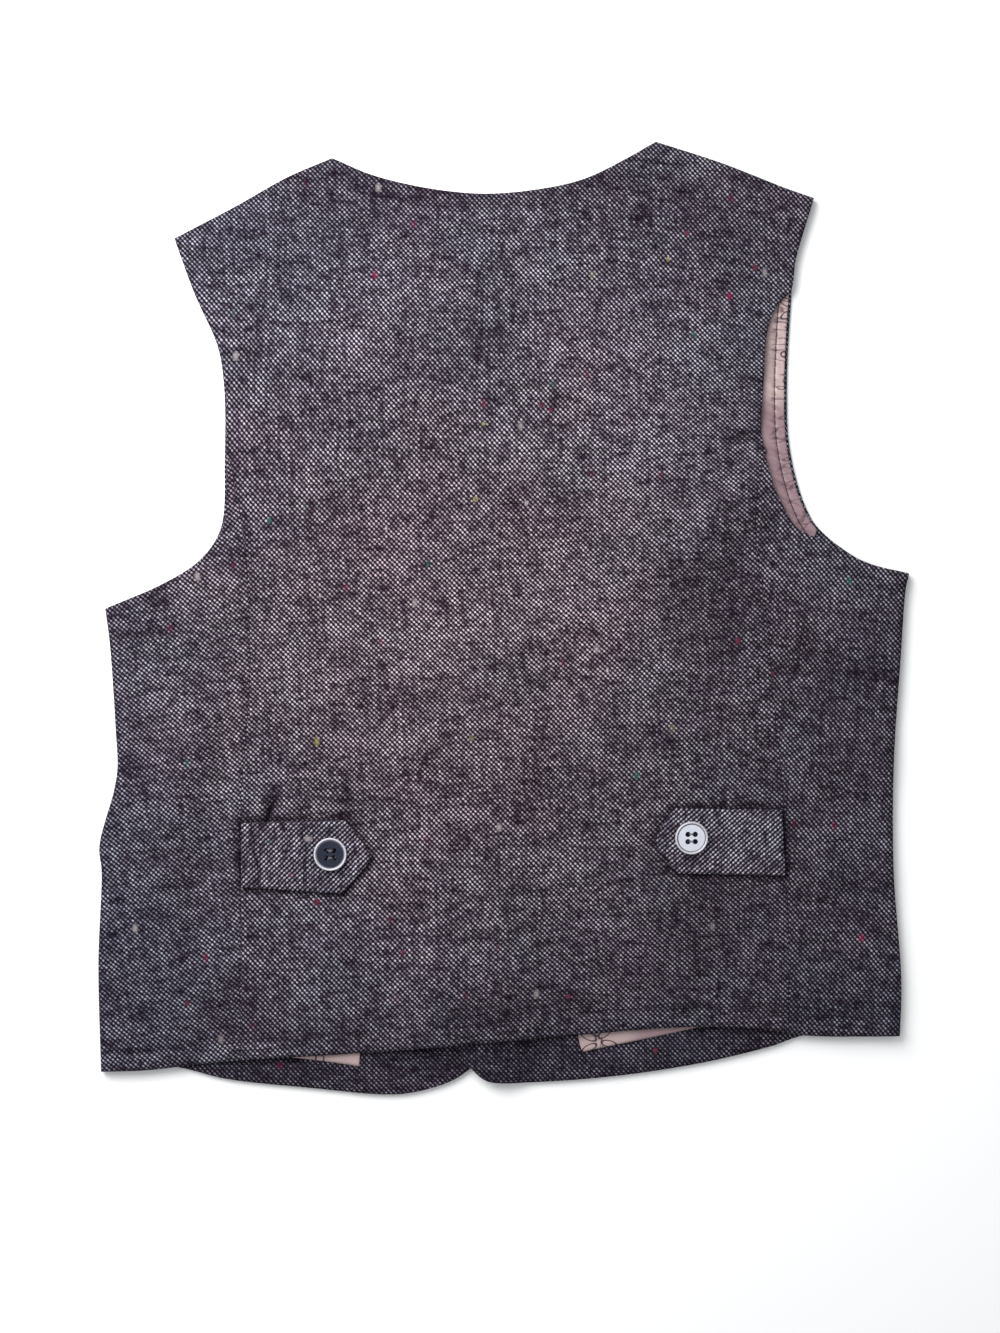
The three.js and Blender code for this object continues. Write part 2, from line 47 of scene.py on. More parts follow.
stageLook = {
    "floorSize": 60.0,  # metres
    "floorColour": "#F6F6F5",
    "floorDrop": 0.0003,  # keeps the floor clear of the cloth's underside
    # Light of the room against the height of the direction, from the horizon to straight up:
    # pale walls, a bright ring of cloth, and the dark ceiling that polished faces mirror
    "room": [(0.0, 0.95), (0.28, 0.95), (0.42, 0.34), (0.80, 0.34), (0.86, 1.2), (0.962, 1.2),
             (0.976, 0.075)],
    "wallTint": (0.95, 0.97, 1.0),
    "ceilingTint": (0.72, 0.78, 1.15),
    "ceilingFrom": 0.97,
    "lampPlace": (-0.44, 0.46, 0.62),
    "lampSize": 0.74,
    "lampPower": 14.0,
}
cameraLook = {
    "seenHeight": 0.712,  # metres of table from the top to the bottom of the picture
    "centre": (-0.0022, -0.0257),
    "distance": 1.5,
    "sensor": 36.0,
    "clothHeight": 0.006,  # the height at which the picture's scale was read
}


def fromHex(text):
    # sRGB hex to linear colour
    parts = [int(text[i : i + 2], 16) / 255 for i in (1, 3, 5)]
    linear = [c / 12.92 if c <= 0.04045 else ((c + 0.055) / 1.055) ** 2.4 for c in parts]
    return (*linear, 1.0)


def addNode(tree, kind, inputs=None, **settings):
    node = tree.nodes.new("ShaderNode" + kind)
    for name, value in settings.items():
        setattr(node, name, value)
    for key, value in (inputs or {}).items():
        if isinstance(value, bpy.types.Node):
            tree.links.new(value.outputs[0], node.inputs[key])
        elif isinstance(value, bpy.types.NodeSocket):
            tree.links.new(value, node.inputs[key])
        else:
            node.inputs[key].default_value = value
    return node


def startMaterial(name, **constants):
    material = bpy.data.materials.new(name)
    material.use_nodes = True
    tree = material.node_tree
    shader = tree.nodes["Principled BSDF"]
    for socket, value in constants.items():
        shader.inputs[socket].default_value = value
    return material, tree, shader


def addStage(look):
    half = look["floorSize"] / 2
    mesh = bpy.data.meshes.new("table")
    corners = [(-half, -half, 0), (half, -half, 0), (half, half, 0), (-half, half, 0)]
    mesh.from_pydata(corners, [], [(0, 1, 2, 3)])
    table = bpy.data.objects.new("table", mesh)
    table.location.z = -look["floorDrop"]
    bpy.context.collection.objects.link(table)
    material, tree, shader = startMaterial("matte white paper", Roughness=0.9)
    shader.inputs["Base Color"].default_value = fromHex(look["floorColour"])
    mesh.materials.append(material)

    world = bpy.data.worlds.new("studio")
    bpy.context.scene.world = world
    world.use_nodes = True
    tree = world.node_tree
    direction = addNode(tree, "TexCoord").outputs["Generated"]
    upward = addNode(tree, "SeparateXYZ", {0: direction}).outputs["Z"]
    room = addNode(tree, "ValToRGB", {0: upward})
    brightest = max(strength for _, strength in look["room"])
    while len(room.color_ramp.elements) < len(look["room"]):
        room.color_ramp.elements.new(0.5)
    for stop, (height, strength) in zip(room.color_ramp.elements, look["room"]):
        stop.position = height
        tint = look["ceilingTint"] if height > look["ceilingFrom"] else look["wallTint"]
        stop.color = (*(strength / brightest * part for part in tint), 1)
    background = tree.nodes["Background"]
    tree.links.new(room.outputs[0], background.inputs["Color"])
    background.inputs["Strength"].default_value = brightest

    lamp = bpy.data.lights.new("softbox", "AREA")
    lamp.size = look["lampSize"]
    lamp.energy = look["lampPower"]
    lampObject = bpy.data.objects.new("softbox", lamp)
    lampObject.location = look["lampPlace"]
    aim = Vector((0, 0, 0)) - lampObject.location
    lampObject.rotation_euler = aim.to_track_quat("-Z", "Y").to_euler()
    bpy.context.collection.objects.link(lampObject)


def addCamera(look):
    camera = bpy.data.cameras.new("camera")
    camera.sensor_width = look["sensor"]
    camera.lens = look["sensor"] * look["distance"] / look["seenHeight"]
    cameraObject = bpy.data.objects.new("camera", camera)
    cameraObject.location = (*look["centre"], look["distance"] + look["clothHeight"])
    bpy.context.collection.objects.link(cameraObject)
    bpy.context.scene.camera = cameraObject
    bpy.context.scene.view_settings.view_transform = "Standard"


addStage(stageLook)
addCamera(cameraLook)
print("stage and camera made")

# Cloth sizes and the order of the layers

cloth = {
    "frontWall": 1.8,
    "liningWall": 1.0,
    "backWall": 2.0,
    "tabWall": 2.4,
    "gap": 0.3,  # between pieces that touch
    "turning": 5.0,  # lining stops this far inside a side or shoulder seam
    "armholeTurning": 1.6,
    "edgeRise": 0.8,
    "hemBandAtSide": {"Left": 16.5, "Right": 23.0},
    "hemBandAtFacing": 13.7,
    "facingWidth": 68.0,
    "facingAtShoulder": 42.0,
    "backClearance": 1.2,
    "seamPinch": 8.0,  # reach of the roll where the back meets a side or shoulder seam
    "rimReach": 1.8,
    "rimDrop": 0.85,
    "rimLift": 0.5,  # rounding of the underside
    "thinRimLift": 0.2,  # the same on facings and linings
    "seamDrop": 0.28,
    "seamOpening": 0.1,
    "tabGroove": 0.9,
    "tabGrooveWidth": 1.6,
    "bandSoft": 1.2,
}
frontStack = cloth["frontWall"] + cloth["gap"] + cloth["liningWall"]
closure = {
    "x": -19.5,
    "topY": -20.0,
    "spacing": 55.0,
    "count": 4,
    "lap": 22.0,
    "step": frontStack + 0.9,
    "flat": 5.0,
    "ramp": 20.0,
    "backRamp": 58.0,
    "fadeFrom": 24.0,
    "fadeTo": 84.0,
    "openingSag": 1.5,
    "openingSlope": 60.0,
    "buttonLift": 3.0,  # the cloth over a button is lifted flat, then falls away round it
    "liftOfFront": (16, 34),
    "liftOfBack": (22, 46),
}
breakY = closure["topY"] + closure["spacing"] / 4
leftEdgeX = closure["x"] + closure["lap"] / 2
rightEdgeX = closure["x"] - closure["lap"] / 2
cornerY = breakY - 15 * closure["spacing"] / 4

outline = {
    "neckline": [(-92.2, 246.2), (-70, 236.9), (-34.3, 229.2), (-2.2, 227.5), (40.3, 234.3), (65.9, 246.2),
                 (81.2, 255)],
    "shoulderLeft": [(-176.4, 203.3), (-143.2, 220.7), (-116, 236), (-92.2, 246.2)],
    "shoulderRight": [(81.2, 255), (116.9, 243.4), (151, 230), (165.7, 224.9)],
    "sideLeft": [(-215.6, -242.4), (-217, -184.8), (-215.3, -135.4), (-216.5, -121.8), (-208.5, -91.2),
                 (-206.8, -79.2), (-207.6, -62.2), (-211, -12.8), (-213.4, 5.2)],
    "sideRight": [(211.7, -223.3), (212.5, -194.1), (208.3, -133.7), (208.6, -74.1), (212, -23),
                  (214.9, 16.1), (216.7, 24)],
    "frontArmholeLeft": [(-213.4, 5.2), (-180.7, 19.7), (-162, 32.5), (-151.8, 48.7), (-149.8, 84),
                         (-150.1, 123.6), (-153.5, 145.7), (-165.4, 173), (-176.4, 203.3)],
    "frontArmholeRight": [(216.7, 24), (198.7, 27.4), (169.7, 47), (161.2, 60.6), (153, 91.2),
                          (151.5, 123.6), (153.6, 167.9), (156.1, 193.4), (165.7, 224.9)],
    "backArmholeLeftLow": [(-213.4, 5.2), (-180.7, 19.4), (-161.6, 32), (-150.4, 48.7), (-148.4, 66),
                           (-148.3, 85.5)],
    "backArmholeLeftHigh": [(-148.3, 88.5), (-148.6, 123.6), (-152.6, 145.7), (-165.2, 173),
                            (-176.4, 203.3)],
    "backArmholeRightLow": [(216.7, 24), (195.3, 29.2), (169.5, 42), (156.4, 48.5), (149.4, 59.5),
                            (143.9, 71.4), (140.2, 85.5)],
    "backArmholeRightHigh": [(139.8, 88.5), (137.6, 98.7), (138.8, 128.5), (140.1, 150), (143, 161.5),
                             (147.4, 169.4), (153.2, 175), (156, 192), (165.7, 224.9)],
    "seamLeft": [(-140.6, -235.6), (-140.8, -145), (-140.6, -97), (-136.4, -43.5), (-135.7, -11.5),
                 (-137.5, 30), (-141.5, 60), (-147, 86)],
    "seamRight": [(152.3, -221.3), (151, -134.3), (149.4, -96.9), (145.1, -54.2), (139.3, 9.9),
                  (135, 39.2), (134.6, 60), (138.7, 86)],
    "backHem": [(-215.6, -242.4), (-189.5, -241.4), (-152.1, -237), (-77.2, -232.4), (-15.9, -226.9),
                (30.7, -223.3), (98.8, -218.4), (134.5, -219.2), (161.7, -223), (211.7, -223.3)],
    "frontHemLeft": [(-215.6, -242.4), (-177.6, -240), (-148.7, -246.5), (-106.1, -251.1), (-56.7, -254.7),
                     (-36.3, -250.6), (-26.1, -246.5), (-14, -238)],
    "frontHemRight": [(-20, -238), (-10.7, -246.5), (-3.9, -248.2), (49.4, -246), (103.9, -238.3),
                      (143.1, -229), (161.7, -223), (211.7, -223.3)],
    "cornerLeft": [(-14, -238), (-9.6, -228), (leftEdgeX, cornerY)],
    "cornerRight": [(-20, -238), (-27.2, -226), (rightEdgeX, cornerY)],
    "edgeLeft": [(leftEdgeX, cornerY), (leftEdgeX, breakY)],
    "edgeRight": [(rightEdgeX, cornerY), (rightEdgeX, breakY)],
    "frontNeckLeft": [(leftEdgeX, breakY), (-22, 26), (-54, 95), (-80, 175), (-92.2, 246.2)],
    "frontNeckRight": [(rightEdgeX, breakY), (-15, 28), (26, 102), (61, 182), (81.2, 255)],
}

# Creases: from, to, width, height; a trough has a negative height
creases = {
    "right blade trough": ((142, 42), (76, -20), 10, -1.5),
    "right blade ridge": ((128, 62), (62, 4), 15, 2.3),
    "right side hollow": ((153, -26), (196, -30), 9, -1.0),
    "right side upper ridge": ((150, -4), (190, -8), 10, 1.4),
    "right side ridge": ((162, -74), (200, -72), 15, 2.4),
    "right hip hollow": ((180, -104), (200, -106), 13, -1.1),
    "right hip ridge": ((160, -134), (203, -137), 9, 1.5),
    "right hip crease": ((156, -151), (203, -154), 7, -1.0),
    "right underarm ridge": ((176, 30), (214, 22), 8, 1.8),
    "right hem lift": ((120, -176), (196, -190), 22, 1.4),
    "left waist ridge": ((-163, -52), (-181, -138), 13, 3.3),
    "left waist trough": ((-149, -62), (-163, -134), 9, -1.4),
    "left arc crease": ((-148, -74), (-84, -60), 8, -0.8),
    "left arc ridge": ((-140, -56), (-86, -42), 11, 1.4),
    "centre ridge": ((-36, -30), (16, 12), 13, 1.0),
    "left blade ridge": ((-120, 70), (-78, 18), 20, 1.2),
    "right shoulder ridge": ((122, 150), (96, 205), 18, 1.3),
    "left hip ridge": ((-196, -176), (-150, -196), 18, 1.5),
}
# Small ones that only the eye needs
puckers = {
    "above left tab": ((-122.5, -97), (-127.0, -108), 2.6, -1.9),
    "beside left tab": ((-127.5, -96), (-132, -107), 3.2, 0.9),
    "right of crease": ((-117, -98), (-119, -107), 4.0, 0.5),
    "right armhole upper": ((126, 129), (139, 127), 4.0, -0.8),
    "right armhole lower": ((124, 99), (137, 100), 4.5, -0.9),
    "right armhole between": ((122, 113), (138, 113), 5.0, 0.8),
    "right hip fold": ((170, -160), (206, -158), 4.5, 0.7),
    "centre short": ((-16, 25), (2, 26), 4.0, -0.35),
    "left short": ((-94, -18), (-78, -17), 4.5, -0.35),
    "left edge kink": ((-211, -82), (-196, -78), 6.0, -0.8),
    "hem centre": ((-30, -210), (40, -206), 9.0, -0.5),
}

# Patches of painted light and shade, mixed with the cloth's own uneven tone: centre, reach across and up,
# and share of painted shade, with a minus sign painted light
lightAndTonePatches = {
    "right side": ((185, -70), (75, 120), 0.34),
    "right side low": ((190, -190), (80, 60), 0.16),
    "left hip": ((-176, -115), (22, 40), 0.24),
    "left corner": ((-190, -205), (60, 45), 0.16),
    "hem": ((0, -225), (260, 32), 0.26),
    "hem left": ((-170, -240), (60, 18), -0.2),
    "neck": ((0, 236), (150, 26), 0.16),
    "left shoulder": ((-130, 215), (70, 45), 0.22),
    "right shoulder": ((120, 205), (60, 50), 0.24),
    "left blade": ((-75, 120), (45, 40), 0.10),
    "centre": ((-30, 60), (80, 70), -0.10),
    "right blade": ((55, 110), (50, 60), -0.22),
    "right of centre": ((22, -60), (30, 30), -0.16),
    "above left hip": ((-186, -92), (26, 20), -0.16),
    "right waist edge": ((196, -25), (26, 30), 0.12),
    "left side": ((-200, -90), (45, 150), 0.10),
    "waist": ((-60, -60), (60, 50), -0.08),
    "left of hem": ((-80, -180), (40, 20), -0.08),
    "right low": ((103, -164), (38, 28), 0.40),
    "low centre": ((46, -197), (42, 18), 0.24),
    "right waist": ((28, -1), (44, 24), -0.38),
    "right blade edge": ((107, 0), (22, 22), 0.50),
    "right of waist": ((66, -67), (24, 17), 0.28),
    "left waist": ((-122, -64), (24, 16), -0.10),
    "left seam": ((-152, -60), (20, 30), -0.06),
    "right seam": ((124, -130), (26, 20), 0.24),
    "above left tab": ((-56, -104), (40, 16), 0.10),
    "left corner low": ((-205, -128), (20, 24), 0.08),
    "neck left": ((-110, 165), (36, 26), -0.16),
    "neck centre": ((-2, 130), (40, 16), 0.08),
    "left waist edge": ((-150, -6), (40, 30), 0.06),
}
# Where the cloth is bluer or, with a minus sign, more rose
coolPatches = {
    "whole back": ((0, 0), (9000, 9000), 0.5),
    "rose centre": ((-28, -5), (130, 118), -0.62),
    "rose right of the neck": ((50, 120), (36, 40), -0.12),
    "low centre": ((5, -128), (110, 55), -0.15),
    "left shoulder": ((-150, 190), (60, 60), 0.2),
    "left side": ((-205, -40), (34, 120), 0.1),
    "left corner": ((-220, -190), (62, 100), 0.38),
    "right side": ((214, -100), (40, 170), 0.1),
    "right corner": ((200, -215), (50, 30), 0.12),
}


def patchTotal(points, table):
    x, y = points[..., 0], points[..., 1]
    total = np.zeros_like(x)
    for (cx, cy), (rx, ry), amount in table.values():
        total += amount * np.exp(-(((x - cx) / rx) ** 2) - ((y - cy) / ry) ** 2)
    return total


def smooth(low, high, value):
    t = np.clip((value - low) / (high - low), 0, 1)
    return t * t * (3 - 2 * t)


# A smooth line through a few places, as a dense run of points
def lineThrough(rows, perSpan=24):
    places = np.array(rows, float)
    if len(places) == 2:
        return places[0] + np.linspace(0, 1, perSpan)[:, None] * (places[1] - places[0])
    places = np.vstack([2 * places[0] - places[1], places, 2 * places[-1] - places[-2]])
    run = []
    for a, b, c, d in zip(places, places[1:], places[2:], places[3:]):
        ta = 0.0
        tb = ta + math.dist(a, b) ** 0.5
        tc = tb + math.dist(b, c) ** 0.5
        td = tc + math.dist(c, d) ** 0.5
        t = np.linspace(tb, tc, perSpan, endpoint=False)[:, None]
        ab = ((tb - t) * a + (t - ta) * b) / (tb - ta)
        bc = ((tc - t) * b + (t - tb) * c) / (tc - tb)
        cd = ((td - t) * c + (t - tc) * d) / (td - tc)
        abc = ((tc - t) * ab + (t - ta) * bc) / (tc - ta)
        bcd = ((td - t) * bc + (t - tb) * cd) / (td - tb)
        run.append(((tc - t) * abc + (t - tb) * bcd) / (tc - tb))
    return np.vstack([*run, places[-2]])


lines = {name: lineThrough(rows) for name, rows in outline.items()}


def reach(line):
    return np.concatenate([[0], np.cumsum(np.hypot(*np.diff(line, axis=0).T))])


def placesAt(line, distances):
    along = reach(line)
    return np.stack([np.interp(distances, along, line[:, k]) for k in (0, 1)], axis=1)


# Reads y from x along a line, or x from y
def readLine(line, given=0):
    order = np.argsort(line[:, given])
    return lambda value: np.interp(value, line[order, given], line[order, 1 - given])


# How far points are from a line, and how far along it the nearest place is
def nearest(points, line):
    a, span = line[:-1], np.diff(line, axis=0)
    size = (span**2).sum(1)
    before = reach(line)[:-1]
    flat = points.reshape(-1, 2)
    best, along = np.empty(len(flat)), np.empty(len(flat))
    for start in range(0, len(flat), 4000):
        part = slice(start, start + 4000)
        away = flat[part, None, :] - a
        t = np.clip((away * span).sum(2) / size, 0, 1)
        squares = ((away - t[..., None] * span) ** 2).sum(2)
        pick = squares.argmin(1)
        row = np.arange(len(pick))
        best[part] = np.sqrt(squares[row, pick])
        along[part] = before[pick] + t[row, pick] * np.sqrt(size[pick])
    return best.reshape(points.shape[:-1]), along.reshape(points.shape[:-1])


def distanceTo(points, *several):
    return np.minimum.reduce([nearest(points, line)[0] for line in several])


# Falls from 1 on a line to nothing a little beyond the width
def bell(away, width):
    return np.exp(-((away / width) ** 2))


def borderOf(points):
    return np.vstack([points[0], points[1:, -1], points[-1, -2::-1], points[-2::-1, 0]])


rimInsets = np.array([0.0, 0.25, 0.6, 1.1, 1.8])


# Even steps along a length, with closer ones at either end for the rounded rim
def spread(length, count, atStart=True, atEnd=True):
    squeeze = min(1.0, length / (5 * rimInsets[-1]))
    low = rimInsets * squeeze if atStart else np.zeros(1)
    high = length - rimInsets[::-1] * squeeze if atEnd else np.array([length])
    middle = np.linspace(low[-1], high[0], count + 1)[1:-1]
    return np.concatenate([low, middle, high])


# Rows from a left line to a right line, bent by the bottom and top lines
def layOut(left, right, bottomY, topY, columnsAt, hemFade=1):
    height = (reach(left) / reach(left)[-1] + reach(right) / reach(right)[-1]) / 2
    widths = right[:, 0] - left[:, 0]
    s = np.array([columnsAt(row, width) / width for row, width in enumerate(widths)])
    points = left[:, None] + (right - left)[:, None] * s[..., None]

    def bend(edgeY, start, end):
        return edgeY(start[0] + (end[0] - start[0]) * s) - (start[1] + (end[1] - start[1]) * s)

    points[..., 1] += (1 - height[:, None]) ** hemFade * bend(bottomY, left[0], right[0])
    points[..., 1] += height[:, None] * bend(topY, left[-1], right[-1])
    return points


# Heights of the layers

rumpleLook = {"waves": 22, "shortest": 22, "longest": 95, "steepness": 0.0042, "strength": 0.36}
chance = np.random.default_rng(5)
lengths = chance.uniform(rumpleLook["shortest"], rumpleLook["longest"], rumpleLook["waves"])
angles = chance.uniform(0, math.pi, rumpleLook["waves"])
phases = chance.uniform(0, 2 * math.pi, rumpleLook["waves"])
waves = [
    (2 * math.pi / length, angle, phase, rumpleLook["steepness"] * length)
    for length, angle, phase in zip(lengths, angles, phases)
]


def rumple(x, y):
    total = np.zeros_like(x)
    for k, angle, phase, height in waves:
        total += height * np.sin(k * (x * math.cos(angle) + y * math.sin(angle)) + phase)
    return total * rumpleLook["strength"]


def creaseHeight(points, table):
    total = np.zeros(points.shape[:-1])
    for start, end, width, height in table.values():
        total += height * bell(distanceTo(points, np.array([start, end], float)), width)
    return total


# The cloth stands up over the four fastened buttons
def buttonLift(x, y, flat, foot):
    lift = np.zeros_like(x)
    for i in range(closure["count"]):
        away = np.hypot(x - closure["x"], y - closure["topY"] + i * closure["spacing"])
        lift = np.maximum(lift, 1 - smooth(flat, foot, away))
    return closure["buttonLift"] * lift


leftNeckX = readLine(lines["frontNeckLeft"], given=1)
rightNeckX = readLine(lines["frontNeckRight"], given=1)


def leftFrontUnder(points):
    x, y = points[..., 0], points[..., 1]
    return buttonLift(x, y, *closure["liftOfFront"])


# The right front laps over the left one, with the buttons between them
def rightFrontUnder(points):
    x, y = points[..., 0], points[..., 1]
    edge = np.where(y > breakY, leftNeckX(y), leftEdgeX)
    lap = 1 - smooth(closure["flat"], closure["flat"] + closure["ramp"], x - edge)
    return buttonLift(x, y, *closure["liftOfFront"]) + closure["step"] * lap


frontUnder = {"Left": leftFrontUnder, "Right": rightFrontUnder}


def backUnder(points):
    x, y = points[..., 0], points[..., 1]
    opening = np.where(y > breakY, np.minimum(x - leftNeckX(y), rightNeckX(y) - x), 0)
    sag = closure["openingSag"] * smooth(0, closure["openingSlope"], opening)
    climb = smooth(closure["x"] - closure["backRamp"], closure["x"] - closure["lap"] * 0.6, x)
    fall = smooth(closure["x"] + closure["lap"] * 0.8, closure["x"] + closure["backRamp"], x)
    fade = 1 - smooth(closure["fadeFrom"], closure["fadeTo"], y)
    lap = closure["step"] * climb * (1 - fall) * fade
    bumps = buttonLift(x, y, *closure["liftOfBack"])
    return frontStack - sag + lap + bumps + cloth["backClearance"] + creaseHeight(points, creases)


# Cloth shells

def rimShare(distance):
    # 1 at a cut or folded edge, easing to 0 where its rounding ends
    t = 1 - np.clip(distance / cloth["rimReach"], 0, 1)
    return 1 - np.sqrt(1 - t * t)


def clothPiece(name, points, under, upper, grain, material, node, shadeAndTone=0.0, cool=0.0, edge=None):
    rows, columns = points.shape[:2]
    count = rows * columns
    top = np.dstack([points, upper]).reshape(-1, 3)
    bottom = np.dstack([points, under]).reshape(-1, 3)
    index = np.arange(count).reshape(rows, columns)
    a, b, c, d = index[:-1, :-1], index[:-1, 1:], index[1:, 1:], index[1:, :-1]
    faces = [np.stack([a, b, c, d], -1).reshape(-1, 4)]
    faces.append(np.stack([d, c, b, a], -1).reshape(-1, 4) + count)
    ring = np.concatenate([index[0, :-1], index[:-1, -1], index[-1, :0:-1], index[:0:-1, 0]])
    after = np.roll(ring, -1)
    faces.append(np.stack([ring + count, after + count, after, ring], -1))
    mesh = bpy.data.meshes.new(name)
    mesh.from_pydata((np.vstack([top, bottom]) * mm).tolist(), [], np.vstack(faces).tolist())
    u, v = grain(points[..., 0], points[..., 1])
    spots = np.tile(np.stack([u, v], -1).reshape(-1, 2), (2, 1)) * mm
    corner = np.empty(len(mesh.loops), int)
    mesh.loops.foreach_get("vertex_index", corner)
    threadsAt = spots[corner]
    # The grain carries on over the edge instead of running down it
    wall = slice(4 * 2 * (rows - 1) * (columns - 1), None)
    lower = (corner[wall] >= count)[:, None]
    foot = corner[wall] % count
    outline3d = top[ring]
    run = np.roll(outline3d, -1, 0)[:, :2] - np.roll(outline3d, 1, 0)[:, :2]
    outward = np.zeros((count, 2))
    outward[ring] = np.stack([run[:, 1], -run[:, 0]], -1) / np.hypot(*run.T)[:, None]
    thick = (top[:, 2] - bottom[:, 2])[foot, None]
    beyond = top[foot, :2] + outward[foot] * thick
    beyond = np.stack(grain(beyond[:, 0], beyond[:, 1]), -1) * mm
    threadsAt[wall] = np.where(lower, beyond, threadsAt[wall])
    layer = mesh.uv_layers.new(name="grain")
    layer.data.foreach_set("uv", threadsAt.astype(np.float32).ravel())
    for title, amount in (("shadeAndTone", shadeAndTone), ("cool", cool)):
        attribute = mesh.attributes.new(title, "FLOAT", "POINT")
        values = np.broadcast_to(amount, (rows, columns)).ravel()
        attribute.data.foreach_set("value", np.tile(values, 2).astype(np.float32))
    if edge is not None:
        # how far along the armhole and how far from it, in metres
        spots = np.tile(np.stack(edge, -1).reshape(-1, 2), (2, 1)) * mm
        layer = mesh.uv_layers.new(name="armhole")
        layer.data.foreach_set("uv", spots[corner].astype(np.float32).ravel())
    mesh.shade_smooth()
    mesh.materials.append(material)
    piece = bpy.data.objects.new(name, mesh)
    bpy.context.collection.objects.link(piece)
    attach(piece, "root")
    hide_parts(node)
    return piece


def turned(degrees, shift=(500.0, 500.0)):
    # grain that runs at an angle to the garment's length
    c, s = math.cos(math.radians(degrees)), math.sin(math.radians(degrees))
    return lambda x, y: (shift[0] + x * c + y * s, shift[1] - x * s + y * c)


# The centre back was pressed a little off grain: its wefts climb below the blades and fall above
def centreGrain(x, y):
    slope = 0.055 - 0.12 * smooth(40, 190, y)
    drift = 2.2 * np.sin(x / 61 + 0.7) * np.cos(y / 83) + 1.1 * np.sin(y / 37 - x / 71)
    return 500 + x + 1.6 * np.sin(y / 70 + 0.4) + 0.02 * y, 500 + y - slope * x + drift


# Materials

tweedLook = {
    "threadPitch": (1.31, 1.36),  # warp and weft spacing in mm, 7.5 threads to the centimetre
    "warpDark": "#281D2A",
    "warpLight": "#BBB6BC",
    "weftDark": "#0A020B",
    "weftLight": "#1F1221",
    # tint, noise scale per metre, range of noise it takes up, and share; a tint is lifted to keep its tone
    "patches": {"#8A6C86": (17.0, 0.50, 0.70, 0.16), "#6F7686": (13.0, 0.50, 0.70, 0.12)},
    "patchLift": 2.6,
    # noise scale per metre, reach of the unevenness in each colour, and the tint of the whole
    "dyeing": (21.0, (0.24, -0.07, -0.03), (1.074, 0.963, 0.982)),
    "cool": (0.770, 1.000, 1.110),
    "stray": {110.0: 0.75, 430.0: 0.55},  # noise scale per metre and how far a thread strays in mm
    "lean": -0.42,  # slant of a float, from the yarn's twist
    "nubSpacing": 19.0,
    "nubSize": 1.9,
    "nubShare": 0.82,
    "nubColours": ["#5E0C30", "#74163B", "#857B46", "#1C4E44", "#520B2A", "#958C8E", "#450B23", "#160F14"],
    "bump": 0.5,
    # how each unevenness is stretched along the threads, half the range of noise it takes up, and its
    # share in the tone of a pale float
    "tones": {
        "warp": ((0.62, 0.05, 0.0), 0.17, 0.26),
        "weft": ((0.045, 0.62, 0.0), 0.17, 0.14),
        "clump": ((0.10, 0.17, 0.0), 0.20, 0.58),
        "cloud": ((0.022, 0.035, 0.0), 0.20, 0.36),
        "slub": ((0.11, 0.75, 0.0), 0.50, 0.0),  # darkens a whole float below
        "tuft": ((0.30, 0.36, 0.0), 0.24, 0.86),
    },
    # short sharp creases of the back and left tab, darkened with painted shade: start, end, half width in
    # mm and share of painted shade
    "pinches": [
        ((-120.6, -96.4), (-123.6, -98.6), 1.1, 0.55),
        ((-123.6, -98.6), (-125.6, -102.5), 1.4, 0.8),
        ((-125.6, -102.5), (-127.0, -108.0), 1.7, 0.9),
        ((-135.4, -111.0), (-133.6, -122.0), 0.9, 0.35),
        ((-133.4, -124.0), (-130.7, -134.3), 1.3, 0.65),
        ((-130.7, -136.0), (-131.4, -141.5), 1.1, 0.5),
        ((128.5, 128.6), (139.0, 126.2), 1.5, 0.55),
        ((127.0, 99.2), (137.0, 100.2), 1.6, 0.6),
        ((133.0, 96.0), (138.0, 90.5), 1.6, 0.6),
        ((140.0, 70.0), (136.0, 63.0), 1.5, 0.5),
    ],
}


